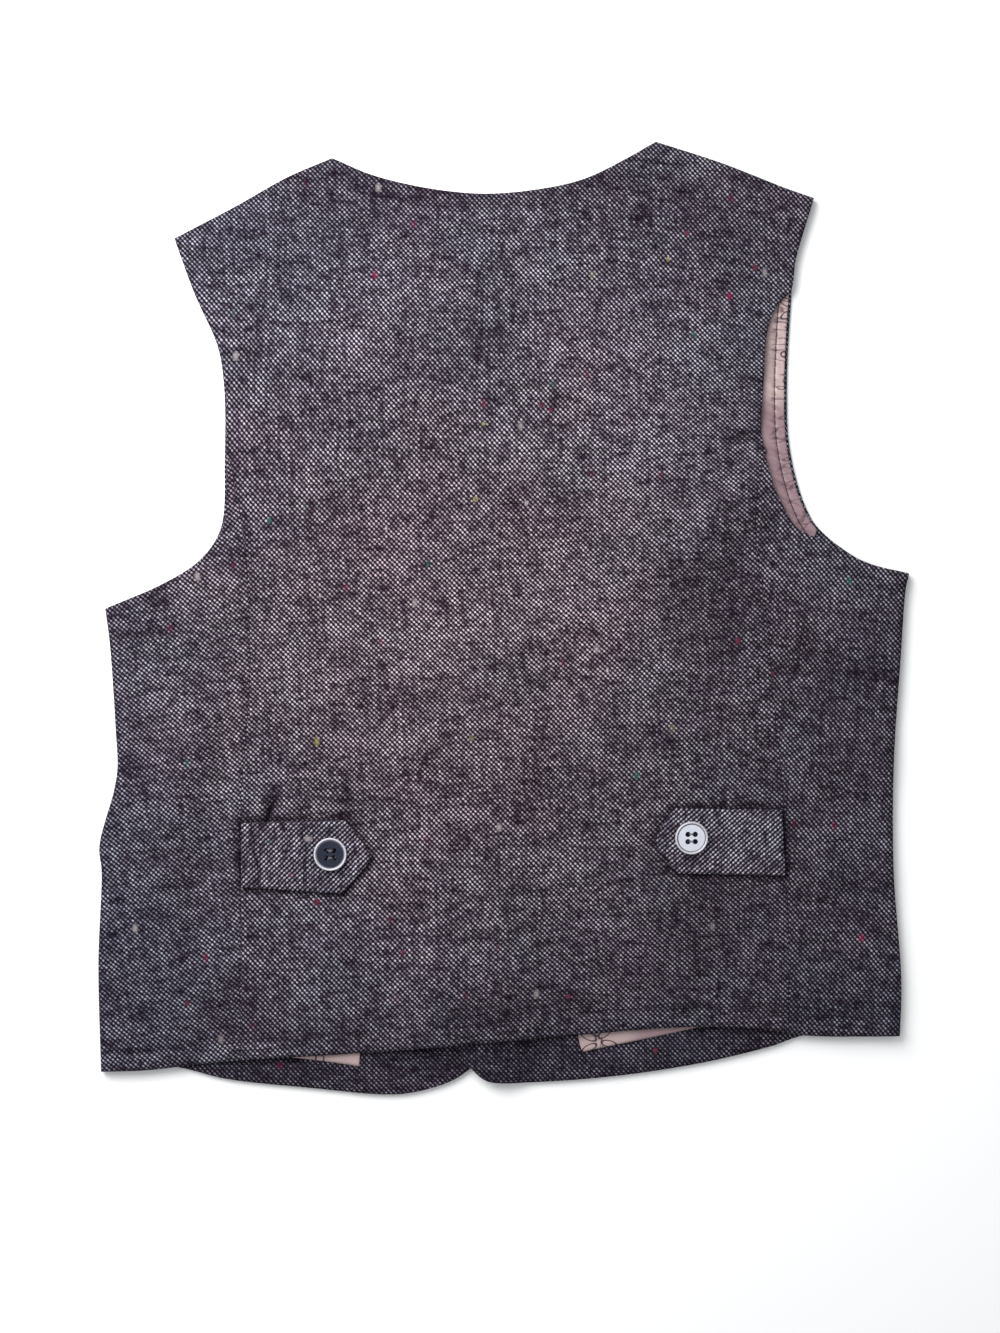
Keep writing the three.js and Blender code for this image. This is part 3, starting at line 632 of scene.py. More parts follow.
def tweedMaterial(look):
    # Wool tweed: light and dark woollen yarns in a plain weave, brushed a little, with dyed nubs
    # spun in. The eye gets a checker of pale floats on near black, streaked along both yarns.
    material, tree, shader = startMaterial(
        "plain weave wool tweed",
        **{
            "Roughness": 0.92,
            "Specular IOR Level": 0.07,
            "Sheen Weight": 0.02,
            "Sheen Roughness": 0.5,
        },
    )
    grain = addNode(tree, "UVMap", uv_map="grain")
    strayed = grain
    for scale, distance in look["stray"].items():
        stray = addNode(tree, "TexNoise", {"Vector": grain, "Scale": scale, "Detail": 2.0})
        centred = addNode(
            tree, "VectorMath", {0: stray.outputs["Color"], 1: (0.5, 0.5, 0.5)}, operation="SUBTRACT"
        )
        strayed = addNode(
            tree, "VectorMath", {0: centred, 1: [distance * mm] * 3, 2: strayed}, operation="MULTIPLY_ADD"
        )
    perMetre = [1 / (pitch * mm) for pitch in look["threadPitch"]]
    threads = addNode(tree, "VectorMath", {0: strayed, 1: (*perMetre, 0.0)}, operation="MULTIPLY")
    cell = addNode(tree, "VectorMath", {0: threads}, operation="FLOOR")
    number = addNode(tree, "SeparateXYZ", {0: cell})
    inside = addNode(
        tree, "SeparateXYZ", {0: addNode(tree, "VectorMath", {0: threads}, operation="FRACTION")}
    )
    both = addNode(tree, "Math", {0: number.outputs["X"], 1: number.outputs["Y"]}, operation="ADD")
    warpUp = addNode(tree, "Math", {0: both, 1: 2.0}, operation="FLOORED_MODULO")

    # Rounded profile of a float, across and along
    slant = addNode(
        tree,
        "Math",
        {0: inside.outputs["Y"], 1: -look["lean"], 2: look["lean"] / 2},
        operation="MULTIPLY_ADD",
    )
    leaning = addNode(tree, "Math", {0: inside.outputs["X"], 1: slant}, operation="ADD")
    profile = []
    for source in (leaning, inside.outputs["Y"]):
        away = addNode(tree, "Math", {0: source, 1: 2.0, 2: -1.0}, operation="MULTIPLY_ADD")
        square = addNode(tree, "Math", {0: away, 1: away}, operation="MULTIPLY")
        profile.append(
            addNode(tree, "Math", {0: 1.0, 1: square}, operation="SUBTRACT", use_clamp=True)
        )
    hump = addNode(tree, "Math", {0: profile[0], 1: profile[1]}, operation="MULTIPLY")
    crown = addNode(tree, "Math", {0: hump, 1: 0.5}, operation="POWER")

    # Slubs: each yarn grows lighter and thicker for a few centimetres, then thin again.
    # Clumps: the brushing leaves lighter and darker spots about a centimetre wide.
    tones = {}
    for name, (stretch, halfRange, _) in look["tones"].items():
        along = addNode(tree, "VectorMath", {0: threads, 1: stretch}, operation="MULTIPLY")
        noise = addNode(tree, "TexNoise", {"Vector": along, "Scale": 1.0, "Detail": 4.0, "Roughness": 0.65})
        tones[name] = addNode(
            tree, "MapRange", {"Value": noise, "From Min": 0.5 - halfRange, "From Max": 0.5 + halfRange}
        )
    each = addNode(tree, "TexWhiteNoise", {"Vector": cell}, noise_dimensions="2D")
    warpTone = addNode(tree, "Math", {0: each, 1: 0.30, 2: -0.58}, operation="MULTIPLY_ADD")
    for name, (*_, share) in look["tones"].items():
        warpTone = addNode(tree, "Math", {0: tones[name], 1: share, 2: warpTone}, operation="MULTIPLY_ADD")
    darkSlub = addNode(
        tree,
        "MapRange",
        {"Value": tones["slub"], "From Min": 0.53, "From Max": 0.66, "To Min": 1.0, "To Max": 0.35},
    )
    warpTone = addNode(tree, "Math", {0: warpTone, 1: darkSlub}, operation="MULTIPLY")
    warpShare = addNode(tree, "Math", {0: warpTone, 1: 1.5}, operation="POWER", use_clamp=True)
    warp = addNode(
        tree,
        "MixRGB",
        {"Fac": warpShare, "Color1": fromHex(look["warpDark"]), "Color2": fromHex(look["warpLight"])},
    )
    weftShare = addNode(tree, "Math", {0: tones["weft"], 1: 1.6}, operation="POWER")
    weft = addNode(
        tree,
        "MixRGB",
        {"Fac": weftShare, "Color1": fromHex(look["weftDark"]), "Color2": fromHex(look["weftLight"])},
    )

    # Clouds of rose and slate, several centimetres wide
    for colour, (scale, low, high, share) in look["patches"].items():
        moved = addNode(tree, "VectorMath", {0: grain, 1: (scale, -scale, 0.0)}, operation="ADD")
        cloud = addNode(
            tree, "TexNoise", {"Vector": moved, "Scale": scale, "Detail": 6.0, "Roughness": 0.6}
        )
        amount = addNode(
            tree, "MapRange", {"Value": cloud, "From Min": low, "From Max": high, "To Max": share}
        )
        strength = tuple(look["patchLift"] * part for part in fromHex(colour)[:3])
        lifted = addNode(
            tree, "MixRGB", {"Fac": 1.0, "Color1": warp, "Color2": (*strength, 1)}, blend_type="MULTIPLY"
        )
        warp = addNode(tree, "MixRGB", {"Fac": amount, "Color1": warp, "Color2": lifted})

    # Painted shade and tone from a mesh attribute: the pale yarn is darkened at edges, seams, creases and
    # hems, and in broad patches of painted light and shade
    shadeAndTone = addNode(tree, "Attribute", attribute_name="shadeAndTone").outputs["Fac"]
    left = addNode(tree, "Math", {0: shadeAndTone, 1: -0.5, 2: 1.0}, operation="MULTIPLY_ADD")
    shadeFactor = addNode(tree, "CombineColor", {0: left, 1: left, 2: left})
    warp = addNode(tree, "MixRGB", {"Fac": 1.0, "Color1": warp, "Color2": shadeFactor}, blend_type="MULTIPLY")

    # A pale float stands on the dark yarn; a dark float is shaded towards its ends
    fat = addNode(tree, "Math", {0: tones["warp"], 1: 0.22, 2: crown}, operation="MULTIPLY_ADD")
    # the painted shade and tone also narrow the pale floats
    fat = addNode(tree, "Math", {0: shadeAndTone, 1: -0.36, 2: fat}, operation="MULTIPLY_ADD")
    floatShare = addNode(tree, "MapRange", {"Value": fat, "From Min": 0.26, "From Max": 1.10})
    paleFloat = addNode(tree, "MixRGB", {"Fac": floatShare, "Color1": weft, "Color2": warp})
    peek = addNode(tree, "Math", {0: crown, 1: -0.06, 2: 0.065}, operation="MULTIPLY_ADD")
    darkFloat = addNode(tree, "MixRGB", {"Fac": peek, "Color1": weft, "Color2": warp})
    woven = addNode(tree, "MixRGB", {"Fac": warpUp, "Color1": darkFloat, "Color2": paleFloat})

    # The dye took unevenly, and the sides and the fronts are bluer
    scale, dyeReach, wholeTint = look["dyeing"]
    dye = addNode(tree, "TexNoise", {"Vector": grain, "Scale": scale, "Detail": 3.0})
    offset = addNode(tree, "VectorMath", {0: dye, 1: (0.5, 0.5, 0.5)}, operation="SUBTRACT")
    tint = addNode(tree, "VectorMath", {0: offset, 1: dyeReach, 2: wholeTint}, operation="MULTIPLY_ADD")
    cool = addNode(tree, "Attribute", attribute_name="cool").outputs["Fac"]
    bluer = addNode(tree, "MixRGB", {"Fac": cool, "Color1": (1, 1, 1, 1), "Color2": (*look["cool"], 1)})
    for factor in (tint, bluer):
        woven = addNode(
            tree, "MixRGB", {"Fac": 1.0, "Color1": woven, "Color2": factor}, blend_type="MULTIPLY"
        )

    # Painted shade in sharp little creases: the colour is drawn towards the dark weft along each
    place = addNode(tree, "TexCoord").outputs["Object"]
    flatPlace = addNode(tree, "VectorMath", {0: place, 1: (1, 1, 0)}, operation="MULTIPLY")
    shade = 0.0
    for start, end, width, depth in look["pinches"]:
        run = np.array(end) - start
        size = math.hypot(*run)
        ahead = (*(run / size), 0)
        origin = (start[0] * mm, start[1] * mm, 0)
        away = addNode(tree, "VectorMath", {0: flatPlace, 1: origin}, operation="SUBTRACT")
        onto = addNode(tree, "VectorMath", {0: away, 1: ahead}, operation="DOT_PRODUCT").outputs["Value"]
        inRun = addNode(tree, "Clamp", {"Value": onto, "Max": size * mm})
        closest = addNode(tree, "VectorMath", {0: ahead, "Scale": inRun}, operation="SCALE")
        apart = addNode(tree, "VectorMath", {0: away, 1: closest}, operation="DISTANCE").outputs["Value"]
        wide = width * mm
        line = addNode(
            tree,
            "MapRange",
            {"Value": apart, "From Min": 0.4 * wide, "From Max": wide, "To Min": depth, "To Max": 0.0},
            interpolation_type="SMOOTHSTEP",
        )
        shade = addNode(tree, "Math", {0: shade, 1: line}, operation="MAXIMUM")
    woven = addNode(tree, "MixRGB", {"Fac": shade, "Color1": woven, "Color2": fromHex(look["weftDark"])})

    # Nubs of dyed wool
    spacing = 1 / (look["nubSpacing"] * mm)
    drawn = addNode(tree, "VectorMath", {0: strayed, 1: (1.0, 0.62, 0.0)}, operation="MULTIPLY")
    nubs = addNode(
        tree,
        "TexVoronoi",
        {"Vector": drawn, "Scale": spacing, "Randomness": 1.0},
        voronoi_dimensions="2D",
        feature="F1",
    )
    luck = addNode(tree, "SeparateColor", {0: nubs.outputs["Color"]})
    present = addNode(tree, "Math", {0: luck.outputs["Red"], 1: look["nubShare"]}, operation="GREATER_THAN")
    radius = look["nubSize"] / look["nubSpacing"]
    spot = addNode(
        tree,
        "MapRange",
        {
            "Value": nubs.outputs["Distance"],
            "From Min": radius,
            "From Max": radius * 0.25,
            "To Max": 0.8,
        },
    )
    # few nubs are as large as the largest
    size = addNode(tree, "Math", {0: luck.outputs["Blue"], 1: 0.7, 2: 0.3}, operation="MULTIPLY_ADD")
    spot = addNode(tree, "Math", {0: spot, 1: size}, operation="MULTIPLY")
    where = addNode(tree, "Math", {0: spot, 1: present}, operation="MULTIPLY")
    choice = addNode(tree, "ValToRGB", {0: luck.outputs["Green"]})
    choice.color_ramp.interpolation = "CONSTANT"
    colours = look["nubColours"]
    while len(choice.color_ramp.elements) < len(colours):
        choice.color_ramp.elements.new(0.5)
    for i, colour in enumerate(colours):
        choice.color_ramp.elements[i].position = i / len(colours)
        choice.color_ramp.elements[i].color = fromHex(colour)
    dyed = addNode(tree, "MixRGB", {"Fac": where, "Color1": woven, "Color2": choice})
    tree.links.new(dyed.outputs[0], shader.inputs["Base Color"])

    # Floats of both yarns stand up; the pale one is thicker
    lower = addNode(tree, "Math", {0: crown, 1: 0.6}, operation="MULTIPLY")
    relief = addNode(tree, "Mix", {"Factor": warpUp, 2: lower, 3: crown}, data_type="FLOAT")
    bump = addNode(tree, "Bump", {"Strength": look["bump"], "Distance": 0.35 * mm, "Height": relief})
    tree.links.new(bump.outputs[0], shader.inputs["Normal"])
    return material


liningLook = {
    "ground": "#B9A39E",
    # colour of the painted shade
    "shade": "#A08A8C",
    "shadowColour": "#6B4C5A",
    "line": "#2B1A22",
    # colour of the painted shade in the tucks
    "fold": "#4A3238",
    "lineWidth": 0.6,
    # leaves of a sprig: centre, half length, half width and angle, in mm and degrees
    "leaves": [
        ((0, 5.5), 5.0, 2.2, 90),
        ((4.6, 2.0), 4.6, 1.9, 35),
        ((-4.8, 1.2), 4.6, 1.9, 145),
        ((5.6, -4.4), 4.0, 1.7, -20),
        ((-5.2, -5.2), 4.2, 1.7, 200),
        ((11.2, 9.2), 2.2, 2.2, 0),
        ((-10.4, 8.0), 1.4, 1.4, 0),
        ((1.2, -6.5), 5.4, 0.5, 80),
    ],
    "tuck": (150.0, 42.0),  # noise scale per metre along and across the armhole
    "repeat": (40.0, 34.0),  # mm between sprigs, each column dropped by half a repeat
}


def liningMaterial(look):
    # Printed viscose lining: smooth satin face, slightly shiny, sprigs of outlined leaves in
    # fine dark line on dusty pink. The eye gets a soft silky band with thin drawn curves.
    material, tree, shader = startMaterial(
        "printed viscose lining",
        **{"Roughness": 0.48, "Specular IOR Level": 0.4, "Sheen Weight": 0.15},
    )
    grain = addNode(tree, "UVMap", uv_map="grain")
    spot = addNode(tree, "SeparateXYZ", {0: grain})
    width, height = (size * mm for size in look["repeat"])
    column = addNode(tree, "Math", {0: spot.outputs["X"], 1: 1 / width}, operation="MULTIPLY")
    columnNumber = addNode(tree, "Math", {0: column}, operation="FLOOR")
    row = addNode(tree, "Math", {0: spot.outputs["Y"], 1: 1 / height}, operation="MULTIPLY")
    dropped = addNode(tree, "Math", {0: columnNumber, 1: 0.5, 2: row}, operation="MULTIPLY_ADD")
    local = []
    for source, size in ((column, look["repeat"][0]), (dropped, look["repeat"][1])):
        part = addNode(tree, "Math", {0: source}, operation="FRACT")
        centred = addNode(tree, "Math", {0: part, 1: size, 2: -size / 2}, operation="MULTIPLY_ADD")
        local.append(centred)
    x, y = local

    ink = 0.0
    for centre, half, narrow, angle in look["leaves"]:
        c, s = math.cos(math.radians(angle)), math.sin(math.radians(angle))
        dx = addNode(tree, "Math", {0: x, 1: centre[0]}, operation="SUBTRACT")
        dy = addNode(tree, "Math", {0: y, 1: centre[1]}, operation="SUBTRACT")
        squares = []
        for fromX, fromY, size in ((c, s, half), (-s, c, narrow)):
            first = addNode(tree, "Math", {0: dx, 1: fromX / size}, operation="MULTIPLY")
            axis = addNode(tree, "Math", {0: dy, 1: fromY / size, 2: first}, operation="MULTIPLY_ADD")
            squares.append(addNode(tree, "Math", {0: axis, 1: axis}, operation="MULTIPLY"))
        total = addNode(tree, "Math", {0: squares[0], 1: squares[1]}, operation="ADD")
        root = addNode(tree, "Math", {0: total, 1: 0.5}, operation="POWER")
        gap = addNode(tree, "Math", {0: root, 1: 1.0}, operation="SUBTRACT")
        size = addNode(tree, "Math", {0: gap}, operation="ABSOLUTE")
        lineReach = look["lineWidth"] / (half * narrow) ** 0.5
        drawn = addNode(
            tree, "MapRange", {"Value": size, "From Min": lineReach, "From Max": lineReach / 2.4}
        )
        ink = addNode(tree, "Math", {0: ink, 1: drawn}, operation="MAXIMUM")

    cloud = addNode(tree, "TexNoise", {"Vector": grain, "Scale": 45.0, "Detail": 3.0})
    ground = addNode(
        tree, "MixRGB", {"Fac": cloud, "Color1": fromHex(look["ground"]), "Color2": fromHex(look["shade"])}
    )
    printed = addNode(tree, "MixRGB", {"Fac": ink, "Color1": ground, "Color2": fromHex(look["line"])})
    # Painted shade on the lining, towards a dark shadow colour, as the mesh attribute gives it
    shadeAndTone = addNode(tree, "Attribute", attribute_name="shadeAndTone").outputs["Fac"]
    printed = addNode(tree, "MixRGB", {"Fac": shadeAndTone, "Color1": printed, "Color2": fromHex(look["shadowColour"])})
    # Fine tucks across the edge of the armhole, pinched by the row of stitches beside it
    edge = addNode(tree, "UVMap", uv_map="armhole")
    stretched = addNode(tree, "VectorMath", {0: edge, 1: (*look["tuck"], 0.0)}, operation="MULTIPLY")
    ripple = addNode(tree, "TexNoise", {"Vector": stretched, "Scale": 1.0, "Detail": 2.5})
    level = addNode(tree, "Math", {0: ripple, 1: 0.5}, operation="SUBTRACT")
    size = addNode(tree, "Math", {0: level}, operation="ABSOLUTE")
    line = addNode(tree, "MapRange", {"Value": size, "From Min": 0.035, "From Max": 0.008})
    inset = addNode(tree, "SeparateXYZ", {0: edge}).outputs["Y"]
    nearEdge = addNode(
        tree,
        "MapRange",
        {"Value": inset, "From Min": 7.0 * mm, "From Max": 10.5 * mm, "To Min": 0.75, "To Max": 0.0},
    )
    tucks = addNode(tree, "Math", {0: line, 1: nearEdge}, operation="MULTIPLY")
    # Painted shade in the tucks: a dark colour drawn along each crease line
    fold = fromHex(look["fold"])
    printed = addNode(tree, "MixRGB", {"Fac": tucks, "Color1": printed, "Color2": fold})
    tree.links.new(printed.outputs[0], shader.inputs["Base Color"])
    wrinkle = addNode(tree, "TexNoise", {"Vector": grain, "Scale": 160.0, "Detail": 3.0})
    folded = addNode(tree, "Math", {0: tucks, 1: -0.7, 2: wrinkle}, operation="MULTIPLY_ADD")
    bump = addNode(tree, "Bump", {"Strength": 0.4, "Distance": 0.6 * mm, "Height": folded})
    tree.links.new(bump.outputs[0], shader.inputs["Normal"])
    return material


buttonLook = {
    "radius": 8.75,
    "height": 2.7,
    "dish": 1.9,
    "rimInner": 7.75,
    "holeRadius": 1.42,
    "holePitch": 3.9,
    "seat": 0.35,  # above the tab
    "seatReach": 8,
    # thread from the hole up to the face: place across from the hole, and height from the face
    "climb": [(0.75, -1.7), (0.85, -0.6), (1.05, -0.12), (1.4, 0.1)],
    "strands": (-0.27, 0.27),
    "threadRadius": 0.2,
    "face": "#D2D4DB",
    "faceWorn": "#BFC2CB",
    "rim": "#BCB9C0",
    # colour of the painted shade in the groove
    "grooveShade": "#47454E",
    "faceRoughness": 0.08,
    "rimRoughness": 0.55,
    "thread": "#7C7F8B",
}


def buttonMaterial(look):
    # Polyester button with a metallised face under clear lacquer, turned and polished.
    # The eye gets a grey mirror that goes pale or nearly navy with what it faces.
    material, tree, shader = startMaterial(
        "metallised polyester",
        **{"Metallic": 1.0, "Coat Weight": 0.06, "Coat Roughness": 0.05},
    )
    place = addNode(tree, "TexCoord").outputs["Object"]
    turning = addNode(tree, "TexNoise", {"Vector": place, "Scale": 420.0, "Detail": 3.0})
    colour = addNode(
        tree,
        "MixRGB",
        {"Fac": turning, "Color1": fromHex(look["face"]), "Color2": fromHex(look["faceWorn"])},
    )
    # the flat face is polished, the rim has been rubbed dull and pale
    level = addNode(tree, "VectorMath", {0: place, 1: (1.0, 1.0, 0.0)}, operation="MULTIPLY")
    away = addNode(tree, "VectorMath", {0: level}, operation="LENGTH").outputs["Value"]
    inner = look["rimInner"] * mm
    dull = addNode(
        tree,
        "MapRange",
        {
            "Value": away,
            "From Min": inner - 0.62 * mm,
            "From Max": inner - 0.5 * mm,
            "To Min": look["faceRoughness"],
            "To Max": look["rimRoughness"],
        },
    )
    tree.links.new(dull.outputs[0], shader.inputs["Roughness"])
    rimFrom = {"From Min": inner - 0.6 * mm, "From Max": inner - 0.45 * mm}
    onRim = addNode(tree, "MapRange", {"Value": away, **rimFrom})
    mirror = addNode(tree, "Math", {0: onRim, 1: -0.8, 2: 1.0}, operation="MULTIPLY_ADD")
    tree.links.new(mirror.outputs[0], shader.inputs["Metallic"])
    pale = addNode(tree, "MixRGB", {"Fac": onRim, "Color1": colour, "Color2": fromHex(look["rim"])})
    # painted shade in the groove between them
    fromGroove = addNode(tree, "Math", {0: away, 1: inner - 0.32 * mm}, operation="SUBTRACT")
    fromGroove = addNode(tree, "Math", {0: fromGroove}, operation="ABSOLUTE")
    inGroove = addNode(
        tree,
        "MapRange",
        {"Value": fromGroove, "From Min": 0.12 * mm, "From Max": 0.3 * mm, "To Min": 0.85, "To Max": 0.0},
    )
    grooveShade = fromHex(look["grooveShade"])
    grooveShaded = addNode(tree, "MixRGB", {"Fac": inGroove, "Color1": pale, "Color2": grooveShade})
    tree.links.new(grooveShaded.outputs[0], shader.inputs["Base Color"])
    return material


def threadMaterial(name, light, dark):
    # Spun polyester thread, two plies twisted: painted shade between the plies, as fine slanting dark bands
    # along it
    material, tree, shader = startMaterial(name, Roughness=0.6)
    place = addNode(tree, "TexCoord").outputs["Object"]
    plies = addNode(tree, "TexWave", {"Vector": place, "Scale": 900.0, "Distortion": 1.5})
    colour = addNode(tree, "MixRGB", {"Fac": plies, "Color1": fromHex(light), "Color2": fromHex(dark)})
    tree.links.new(colour.outputs[0], shader.inputs["Base Color"])
    return material


tweed = tweedMaterial(tweedLook)
litTabTweed = tweedMaterial({**tweedLook, "warpLight": "#C6C1C8"})  # a copy with paler floats: painted light on the tabs
lining = liningMaterial(liningLook)
buttonFace = buttonMaterial(buttonLook)
thread = threadMaterial("grey polyester button thread", buttonLook["thread"], "#23202A")
stitchThread = threadMaterial("brown polyester sewing thread", "#34252A", "#1D1318")
print("materials made")

# Fronts: fabric, facing and lining share one lay

frontLook = {
    "rows": (50, 66, 150),  # corner to closure, closure, neck edge
    "liningColumns": 40,
    "facingColumns": 26,
    "hemFade": 14,  # only the lowest rows bend to the hem
    "bandReach": 130,  # mm over which the hem turning widens or narrows
    "cool": 0.62,
    "hemShadow": 0.66,  # painted shadow beside the hem, where the front lies under the back's hem
    # the same painted shadow on the facing
    "facingHemShadow": 0.62,
    "hemShadowFades": (22, 40),  # mm from the hem
    # painted shade along the rounded rims
    "rimShade": 0.25,
    "facingRimDrop": 0.55,
    "facingGrain": (517, 509),
}


def joinLines(*parts):
    return np.vstack([parts[0], *(part[1:] for part in parts[1:])])


def layFront(side, mirrored):
    # Rows at equal shares of matching stretches on the side and on the front edge
    sideLine, armLine, neckLine = (lines[name + side] for name in ("side", "frontArmhole", "frontNeck"))
    edgeLine = joinLines(lines[f"corner{side}"], lines[f"edge{side}"])
    lowRows, midRows, highRows = frontLook["rows"]
    count = lowRows + midRows
    low = spread(reach(sideLine)[-1], count, atEnd=False)
    lowEdge = spread(reach(edgeLine)[-1], count, atEnd=False)
    high = spread(reach(armLine)[-1], highRows, atStart=False)
    highEdge = spread(reach(neckLine)[-1], highRows, atStart=False)
    outer = joinLines(placesAt(sideLine, low), placesAt(armLine, high))
    inner = joinLines(placesAt(edgeLine, lowEdge), placesAt(neckLine, highEdge))
    sideRows = len(low) - 1
    total = len(outer) - 1

    def seamDistance(row, width):
        up = max(0.0, (row - sideRows) / (total - sideRows))
        return width - (cloth["facingWidth"] + (cloth["facingAtShoulder"] - cloth["facingWidth"]) * up)

    def columnsAt(row, width):
        seam = seamDistance(row, width)
        inLining = spread(seam, frontLook["liningColumns"])
        inFacing = seam + spread(width - seam, frontLook["facingColumns"])
        columns = np.concatenate([inLining, inFacing[1:]])
        return width - columns[::-1] if mirrored else columns

    points = layOut(
        inner if mirrored else outer,
        outer if mirrored else inner,
        readLine(lines[f"frontHem{side}"]),
        readLine(lines[f"shoulder{side}"]),
        columnsAt,
        frontLook["hemFade"],
    )
    seamColumn = len(spread(1.0, frontLook["liningColumns"])) - 1
    if mirrored:
        seamColumn = points.shape[1] - 1 - seamColumn
    return points, seamColumn, sideRows


def bandOf(side, share):
    # width of the turned-up hem, from the facing to the side
    atSide, atFacing = cloth["hemBandAtSide"][side], cloth["hemBandAtFacing"]
    return atFacing + (atSide - atFacing) * np.clip(share, 0, 1) ** 0.6


def addFront(side):
    mirrored = side == "Right"
    under = frontUnder[side]
    points, seamColumn, sideRows = layFront(side, mirrored)
    ends = [lines[f"{name}{side}"] for name in ("side", "shoulder")]
    edges = [lines[f"{name}{side}"] for name in ("frontArmhole", "frontNeck", "edge", "corner")]
    toHem = distanceTo(points, lines[f"frontHem{side}"])
    toSide = distanceTo(points, ends[0])
    toEnd = distanceTo(points, *ends)
    rise = cloth["edgeRise"] * (1 - smooth(0, cloth["turning"], toEnd))
    base = under(points) + rise
    rim = rimShare(np.minimum.reduce([toHem, toEnd, distanceTo(points, *edges)]))

    columns = np.arange(points.shape[1])
    outside = columns >= seamColumn if mirrored else columns <= seamColumn
    fromFacing = np.abs(points[..., 0] - points[0, seamColumn, 0])
    bandWidth = bandOf(side, fromFacing / frontLook["bandReach"])
    band = (1 - smooth(bandWidth - cloth["bandSoft"], bandWidth, toHem)) * outside
    inward = smooth(0, cloth["turning"], toSide)
    thick = cloth["frontWall"] + (cloth["gap"] + cloth["liningWall"]) * band * inward
    upper = base + thick - cloth["rimDrop"] * rim
    lower = base + cloth["rimLift"] * rim
    # Painted shadow beside the hem, where the front lies under the back, and painted shade along the
    # rounded rims
    nearHem = 1 - smooth(*frontLook["hemShadowFades"], toHem)
    shadeAndTone = frontLook["hemShadow"] * nearHem + frontLook["rimShade"] * rim
    name, node, cool = f"front{side}", f"front_{side.lower()}", frontLook["cool"]
    piece = clothPiece(name, points, lower, upper, turned(0), tweed, node, shadeAndTone, cool)

    # Facing, flush with the front edge
    part = slice(None, seamColumn + 1) if mirrored else slice(seamColumn, None)
    lay = points[:, part]
    inner = under(lay) + cloth["frontWall"] + cloth["gap"]
    rim = rimShare(distanceTo(lay, borderOf(lay)))
    top = inner + cloth["liningWall"] - frontLook["facingRimDrop"] * rim
    lower = inner + cloth["thinRimLift"] * rim
    # The same painted shadow and rim shade on the facing
    shadeAndTone = frontLook["facingHemShadow"] * nearHem[:, part] + frontLook["rimShade"] * rim
    name, node, grain = f"facing{side}", f"facing_{side.lower()}", turned(0, frontLook["facingGrain"])
    piece = clothPiece(name, lay, lower, top, grain, tweed, node, shadeAndTone, cool)
    return points, seamColumn, toHem, sideRows


lays = {side: addFront(side) for side in ("Left", "Right")}
print("fronts and facings made")

# Linings: cut from the same lay, short of the side, armhole and hem turning

liningSize = {
    "width": 130,
    "columns": (2.7, 17, 1.0),  # first, last and spacing of those beside the armhole
    "otherColumns": 40,
    "otherFrom": 18,
    "turningRows": 26,  # over which the turning narrows above the side seam
    "wideTurning": 7.5,  # more of the right armhole's turning shows below its curve
    "wideFrom": (168, 176),
    "wideTo": (190, 204),
    "rowsFree": 6,  # at the shoulder
    "rowsAtHem": 40,  # that start higher, on top of the hem turning at the side
    "bandReach": 1.1,
    "overBand": 0.4,
    "rimDrop": 0.5,
    "gather": 0.22,  # mm
    "gathers": [(5.9, 0.0), (7.7, 1.2), (13.1, 4.0)],  # length and phase of each run of gathers
    "gatherShape": (1.9, 8),  # depth and sharpness
    "swell": (0.5, 8.9, 2),  # height, length and phase of the waves between them
    "gathered": (6.0, 5.5),  # where they lie from the armhole, and how wide
    "slant": 0.45,
    "stitchInset": 6.8,
    "stitchGroove": (0.5, 0.9),  # depth and width
    "crumple": (0.2, 2.1),  # share of the back's rumple, and how much finer it is
    # painted shade on it: under the arm, below that, at the hem, in the gap there, in the gathers
    "liningShade": {"arm": 0.62, "low": 0.06, "hem": 0.1, "gap": 0.45, "gathers": 0.06},
    "liningShadeFades": {"arm": (122, 108), "low": (95, 70), "end": (-40, 10), "hem": (-150, -200)},
    "gapFrom": (64, 76),
    "grain": 8,
    "shift": (481.7, 517.8),  # puts a sprig in the gap under the hem
}


def finerRows(line, rows):
    return np.stack([np.interp(rows, np.arange(len(line)), line[:, k]) for k in (0, 1)], 1)


